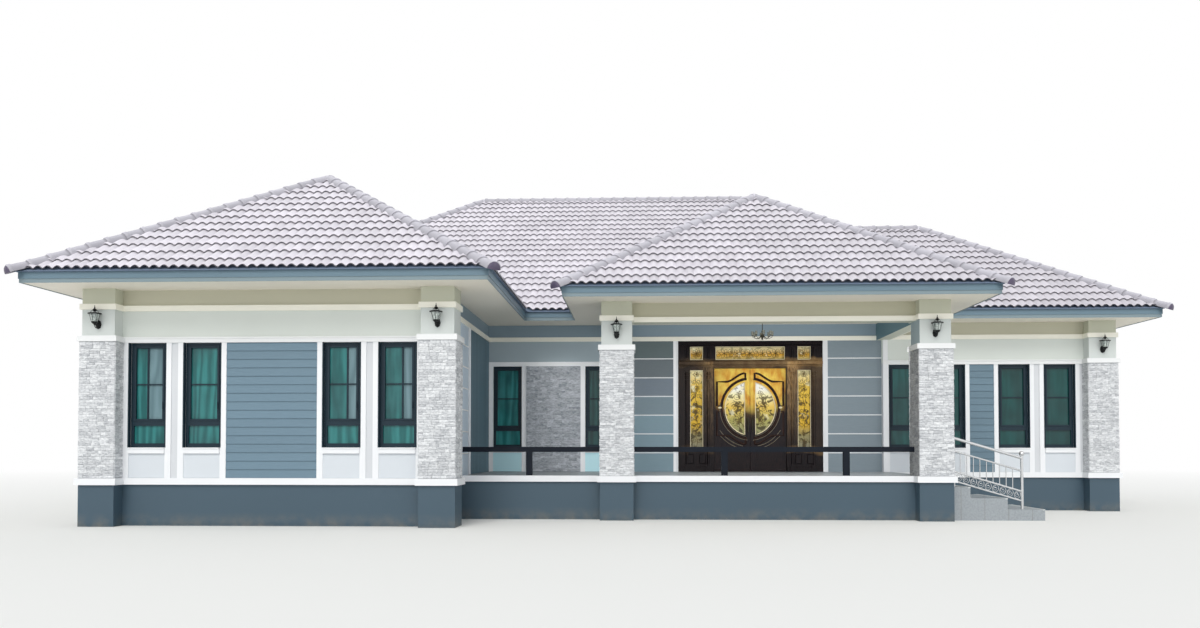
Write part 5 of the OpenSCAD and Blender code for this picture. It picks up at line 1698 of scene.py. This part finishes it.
@dataclass
class Lanterns:
    """Black carriage lanterns on the front columns and the lamp under the porch ceiling.

    Args:
        z: height of the lanterns' eaves.
        y: distance of a lantern's axis from its wall, along -Y.
        lamp: plan point of the porch lamp.
    """

    repeat: Repeater
    z: float = 3.332
    y: float = -0.112
    lamp: Pair = (2.02, -3.8)

    def metal(self) -> Shape:
        """Plate, scroll bracket, cage and roof of one lantern, out along -Y."""
        y = self.y
        shape = Shape()
        plate = Shape().lathe([(0.0, 0.0), (0.05, 0.0), (0.046, 0.01), (0.02, 0.016)], (0, 0, 0), 8)
        upright = Matrix.Diagonal((1, 1, 1.5, 1)) @ Matrix.Rotation(math.pi / 2, 4, "X")
        turn = Matrix.Translation((0, 0, -0.145)) @ upright
        shape.add([turn @ Vector(v) for v in plate.verts], plate.faces)
        eaves = [(0.07, 0.006), (0.1, 0.008), (0.104, 0.014), (0.1, 0.022), (0.07, 0.028), (0.03, 0.032),
                 (0.008, 0.034)]
        finial = [(0.004, 0.03), (0.006, 0.05), (0.026, 0.058), (0.034, 0.07), (0.022, 0.088),
                  (0.009, 0.096), (0.013, 0.106), (0.007, 0.116), (0.002, 0.152)]
        foot = [(0.004, -0.04), (0.016, -0.034), (0.012, -0.022), (0.03, -0.012), (0.046, 0.004),
                (0.05, 0.016), (0.046, 0.022)]
        for profile, z, sides in ((eaves, 0.0, 20), (finial, 0.0, 14), (foot, -0.132, 16)):
            shape.lathe(profile, (0, y, z), sides)
        cage = [(0.046, -0.112), (0.062, -0.05), (0.08, 0.012)]
        quarter = [math.pi / 2 * i / 6 for i in range(7)]
        hoop = [(0.06 * math.cos(t), 0.02 + 0.058 * math.sin(t)) for t in quarter]
        for line, count in ((cage, 6), (hoop, 4)):
            for k in range(count):
                a = 2 * math.pi / count * k + math.pi / count
                shape.tube([(r * math.cos(a), y + r * math.sin(a), h) for r, h in line], 0.003, 6)
        arm = [(-0.012, -0.12), (-0.035, -0.10), (-0.062, -0.115), (-0.088, -0.14), (-0.108, -0.158),
               (-0.1, -0.19), (-0.07, -0.205), (-0.042, -0.19), (-0.045, -0.165), (-0.058, -0.163)]
        brace = [(-0.01, -0.2), (-0.03, -0.212), (-0.055, -0.2)]
        for line, radius in ((arm, 0.0065), (brace, 0.006)):
            shape.tube([(0, v, w) for v, w in line], radius)
        return shape

    def glass(self) -> Shape:
        """Six sided glass body of one lantern with its candle."""
        shape = Shape().lathe([(0.043, -0.112), (0.058, -0.055), (0.076, 0.006)], (0, self.y, 0), 6)
        return shape.lathe([(0.012, -0.105), (0.014, -0.05), (0.008, -0.03)], (0, self.y, 0), 8)

    def porch_lamp(self) -> None:
        """Build the hanging lamp: rose, stem, eight arms and their shades."""
        x, y = self.lamp
        metal, glass = Shape(), Shape()
        metal.lathe([(0.02, 0.0), (0.07, 0.016), (0.088, 0.03)], (x, y, 3.7295), 20)
        metal.lathe([(0.002, -0.03), (0.02, -0.01), (0.012, 0.01), (0.034, 0.03), (0.04, 0.05), (0.016, 0.08),
                     (0.008, 0.10), (0.022, 0.13), (0.008, 0.16), (0.006, 0.44)], (x, y, 3.30), 14)
        arm = ((0.03, 3.35), (0.07, 3.305), (0.13, 3.30), (0.178, 3.325), (0.186, 3.348))
        shade = [(0.01, 0.0), (0.02, 0.01), (0.026, 0.035), (0.02, 0.06), (0.03, 0.075)]
        for k in range(8):
            c, s = math.cos(math.pi / 4 * k), math.sin(math.pi / 4 * k)
            ax, ay = x + arm[-1][0] * c, y + arm[-1][0] * s
            metal.tube([(x + r * c, y + r * s, h) for r, h in arm], 0.0045, 6)
            metal.lathe([(0.006, 0.0), (0.024, 0.006), (0.02, 0.012)], (ax, ay, 3.345), 10)
            glass.lathe(shade, (ax, ay, 3.357), 12)
        place("porch_lamp_arms", metal.mesh("porch_lamp_arms"), Finishes.BRONZE, "brass", smooth=40,
              stands_for=("porch_lamp",))
        place("porch_lamp_shades", glass.mesh("porch_lamp_shades"), Finishes.SMOKED, "window_glass",
              smooth=40)

    def build(self) -> None:
        """Build the five lanterns and the hanging lamp."""
        spots = [Spot((x, y, self.z)) for x, y in ((-8.8305, -7.1645), (-3.4295, -7.1645), (8.8305, -2.6345),
                                                   (-0.6805, -5.4945), (4.7205, -5.4945))]
        self.repeat.put("lantern_metalwork", self.metal(), spots, Finishes.BLACK, "rail_black", smooth=45,
                        stands_for=("wall_lanterns",))
        self.repeat.put("lantern_glass", self.glass(), spots, Finishes.LANTERN, "window_glass", smooth=20)
        self.porch_lamp()


@dataclass
class PorchWork:
    """Nosings of the side steps and scrolls in the stair rail.

    Args:
        fall: fall of the stair rail for each metre along X.
        first, last: X of the outer scrolls.
        count: number of scrolls.
    """

    repeat: Repeater
    fall: float = 0.298
    first: float = 5.19
    last: float = 6.17
    count: int = 9

    def build(self) -> None:
        """Build the nosings and the rail scrolls."""
        nose = Shape()
        for i, z in ((1, 0.57), (2, 0.38), (3, 0.19)):
            x = 4.735 + i * 0.625
            nose.box((x - 0.04, -5.262, z - 0.018), (x + 0.004, -3.808, z + 0.004), 0.003)
            nose.box((x - 0.075, -5.262, z - 0.001), (x - 0.05, -3.808, z + 0.003), 0.001)
        place("step_nosings", nose.mesh("step_nosings"), Finishes.NOSING, "tile_grey", smooth=30)
        turns = [2 * math.pi * i / 18 for i in range(18)]
        loop = [(0.052 * math.cos(t), 0.0, 0.064 * math.sin(t)) for t in turns]
        curl = [(x, 0.0, z) for x, z in scroll(0.0, 0.0, 0.046, 0.01, 0.25, 1.25, 14)]
        ring = Shape().tube(loop, 0.0055, 6, True).tube(curl, 0.0045, 6)
        spots = []
        for i in range(self.count):
            x = self.first + i * (self.last - self.first) / (self.count - 1)
            z = 1.437 - self.fall * (x - 5.008) - 0.652
            spots.append(Spot((x, -5.2, z), (0, math.atan(self.fall), 0)))
        self.repeat.put("rail_scrolls", ring, spots, Finishes.STEEL, "rail_steel", smooth=50)


class Mouldings:
    """Thin stepped fillets that finish the plain mouldings, and the boards at two inner corners."""

    def build(self) -> None:
        """Build the fillets on the long front walls and the portico beam, and the corner boards."""
        fillets = Shape()
        for x0, x1, y in ((-8.543, -3.717, FRONT_Y), (4.63, 8.543, RIGHT_Y)):
            for z in (LOW_MOULD_Z, HIGH_MOULD_Z):
                fillets.box((x0, y - 0.042, z + 0.062), (x1, y - 0.0305, z + 0.09), 0.004)
        fillets.box((-0.41, -5.302, 3.487), (4.45, -5.2905, 3.515), 0.004)
        boards = Shape().box((4.603, -2.4188, BAND_Z), (4.7, RIGHT_Y, 3.4235), 0.003)
        boards.box((-3.3785, -4.688, BAND_Z), (-3.345, -4.655, 3.4235), 0.003)
        place("corner_board", boards.mesh("corner_board"), Finishes.TRIM, "trim", smooth=30)
        place("moulding_fillets", fillets.mesh("moulding_fillets"), Finishes.MOULDING, "trim", smooth=30)


def dress_frame(nodes: dict[str, bpy.types.Object]) -> None:
    """Give every CAD node its finish.

    Args:
        nodes: the CAD nodes by name.
    """
    f = Finishes
    rows = (
        (f.PLINTH, "plinth", "plinth"), (f.FLOOR, "floor", "floor_slab"),
        (f.TILE, "tile_grey", "porch_floor steps"), (f.TRIM, "trim", "plinth_band"),
        (f.COLUMN, "column_stone", "columns"), (f.BEAM, "wall", "portico_beams"),
        (f.MOULDING, "trim", "mouldings"), (f.CEILING, "ceiling", "ceiling_slab"),
        (f.SOFFIT, "soffit", "soffit"), (f.FASCIA, "fascia", "fascia"), (f.CAP, "cap_tile", "ridge_caps"),
        (f.WALL_TRIM, "trim", "wall_trims"), (f.SIDING, "siding", "siding_panels"),
        (f.STRIPED, "striped", "striped_panels"), (f.PANEL_STONE, "panel_stone", "stone_panel"),
        (f.FRAME, "window_frame", "window_frames side_frames"),
        (f.PANE_X, "window_glass", "front_glass"), (f.PANE_Y, "window_glass", "side_glass"),
        (f.DOOR_FRAME, "door_wood", "door_frame"), (f.DOOR_GLASS, "door_glass", "door_glass"),
        (f.RAIL, "rail_black", "porch_rail"), (f.STEEL, "rail_steel", "stair_rail"),
        (f.BLACK, "rail_black", "wall_lanterns"), (f.BRONZE, "brass", "porch_lamp handle_left handle_right"),
        (f.WALL, "wall", "front_wall left_wall right_front_wall right_walls rear_wall"),
        (f.PORCH, "wall", "wing_inner_wall porch_wall door_head door_wall_right"),
        (f.DECK, "roof_tile", "main_roof left_roof portico_roof right_roof"),
        (f.LEAF, "door_wood", "door_leaf_left door_leaf_right"),
        (f.LEAF_GLASS, "door_glass", "leaf_glass_left leaf_glass_right"),
    )
    look = {name: (finish, slot) for finish, slot, names in rows for name in names.split()}
    for name, obj in nodes.items():
        finish, slot = look[name]
        obj.data.materials.clear()
        obj.data.materials.append(f.get(finish))
    log.info("dressed %d nodes", len(nodes))


def seen_rays(tree: bpy.types.NodeTree) -> bpy.types.NodeSocket:
    """A factor that is 1 for rays from the camera, off a shiny face or through glass."""
    path = tree.nodes.new("ShaderNodeLightPath")
    seen = path.outputs["Is Camera Ray"]
    for label in ("Is Glossy Ray", "Is Transmission Ray"):
        either = tree.nodes.new("ShaderNodeMath")
        either.operation = "MAXIMUM"
        tree.links.new(seen, either.inputs[0])
        tree.links.new(path.outputs[label], either.inputs[1])
        seen = either.outputs[0]
    return seen


def ground_finish() -> bpy.types.Material:
    """Pale matt floor that turns to the white of the backdrop far from the house."""
    sheet = NodeSheet("ground_paint")
    made = sheet.finish((236, 236, 233), 0.9, specular=0.1)
    far = sheet.add("ShaderNodeVectorMath", operation="LENGTH")
    sheet.feed(sheet.coords, far.inputs[0])
    glow = sheet.add("ShaderNodeEmission")
    mix = sheet.add("ShaderNodeMixShader")
    share = sheet.times(sheet.span(far.outputs["Value"], 13.0, 46.0), seen_rays(sheet.tree))
    for source, target in ((share, mix.inputs[0]), (sheet.shader.outputs[0], mix.inputs[1]),
                           (glow.outputs[0], mix.inputs[2]),
                           (mix.outputs[0], sheet.tree.nodes["Material Output"].inputs["Surface"])):
        sheet.feed(source, target)
    return made


def stand(name: str, data: bpy.types.ID, at: Point = (0, 0, 0),
          degrees: Point = (0, 0, 0)) -> bpy.types.Object:
    """Put a camera, lamp or floor in the scene, turned by angles in degrees."""
    obj = bpy.data.objects.new(name, data)
    obj.location = at
    obj.rotation_euler = [math.radians(t) for t in degrees]
    bpy.context.scene.collection.objects.link(obj)
    return obj


def sky_dome() -> bpy.types.World:
    """Cool soft light from all round that shows as plain white."""
    world = bpy.data.worlds.new("sky")
    world.use_nodes = True
    tree = world.node_tree
    dome = tree.nodes["Background"]
    dome.inputs["Color"].default_value = (0.93, 0.96, 1.0, 1.0)
    dome.inputs["Strength"].default_value = 0.72
    shown = tree.nodes.new("ShaderNodeBackground")
    shown.inputs["Color"].default_value = (1.0, 1.0, 1.0, 1.0)
    mix = tree.nodes.new("ShaderNodeMixShader")
    for source, target in ((seen_rays(tree), mix.inputs[0]), (dome.outputs[0], mix.inputs[1]),
                           (shown.outputs[0], mix.inputs[2]),
                           (mix.outputs[0], tree.nodes["World Output"].inputs["Surface"])):
        tree.links.new(source, target)
    return world


def studio() -> None:
    """Set up the camera, the pale floor, the sky dome and the soft lamps."""
    scene = bpy.context.scene
    scene.view_settings.view_transform = "Standard"
    camera = bpy.data.cameras.new("camera")
    camera.sensor_width, camera.lens, camera.shift_y, camera.clip_end = 36.0, 28.99, 0.0931, 400.0
    scene.camera = stand("camera", camera, (-0.27, -22.05, 1.221), (91.383, 0.0, 2.411))

    mesh = bpy.data.meshes.new("ground")
    half = 160
    corners = [(-half, -half, 0), (half, -half, 0), (half, half, 0), (-half, half, 0)]
    mesh.from_pydata(corners, [], [(0, 1, 2, 3)])
    mesh.materials.append(ground_finish())
    stand("ground", mesh)

    scene.world = sky_dome()
    for name, degrees, energy, soft in (("sun", (47, 0, -8), 1.42, 28.0), ("fill", (80, 0, 8), 0.55, 70.0)):
        lamp = bpy.data.lights.new(name, "SUN")
        lamp.energy = energy
        lamp.angle = math.radians(soft)
        lamp.color = (1.0, 0.975, 0.94)
        stand(name, lamp, degrees=degrees)
    panel = bpy.data.lights.new("porch_fill", "AREA")
    panel.shape = "RECTANGLE"
    panel.size, panel.size_y, panel.energy = 5.2, 1.6, 48.0
    holder = stand("porch_fill", panel, (2.3, -5.0, 2.2), (92.0, 0.0, 0.0))
    holder.visible_camera = holder.visible_glossy = False


def main() -> None:
    """Build and dress the whole house in order."""
    logging.basicConfig(level=logging.INFO, format="%(message)s")
    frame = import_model()
    studio()
    dress_frame(frame["nodes"])
    repeat = Repeater()
    for work in (TiledRoof(repeat), StoneWork(repeat), Cladding(repeat), Windows(repeat), DoorDressing(),
                 Lanterns(repeat), PorchWork(repeat), Mouldings()):
        work.build()


if __name__ == "__main__":
    main()
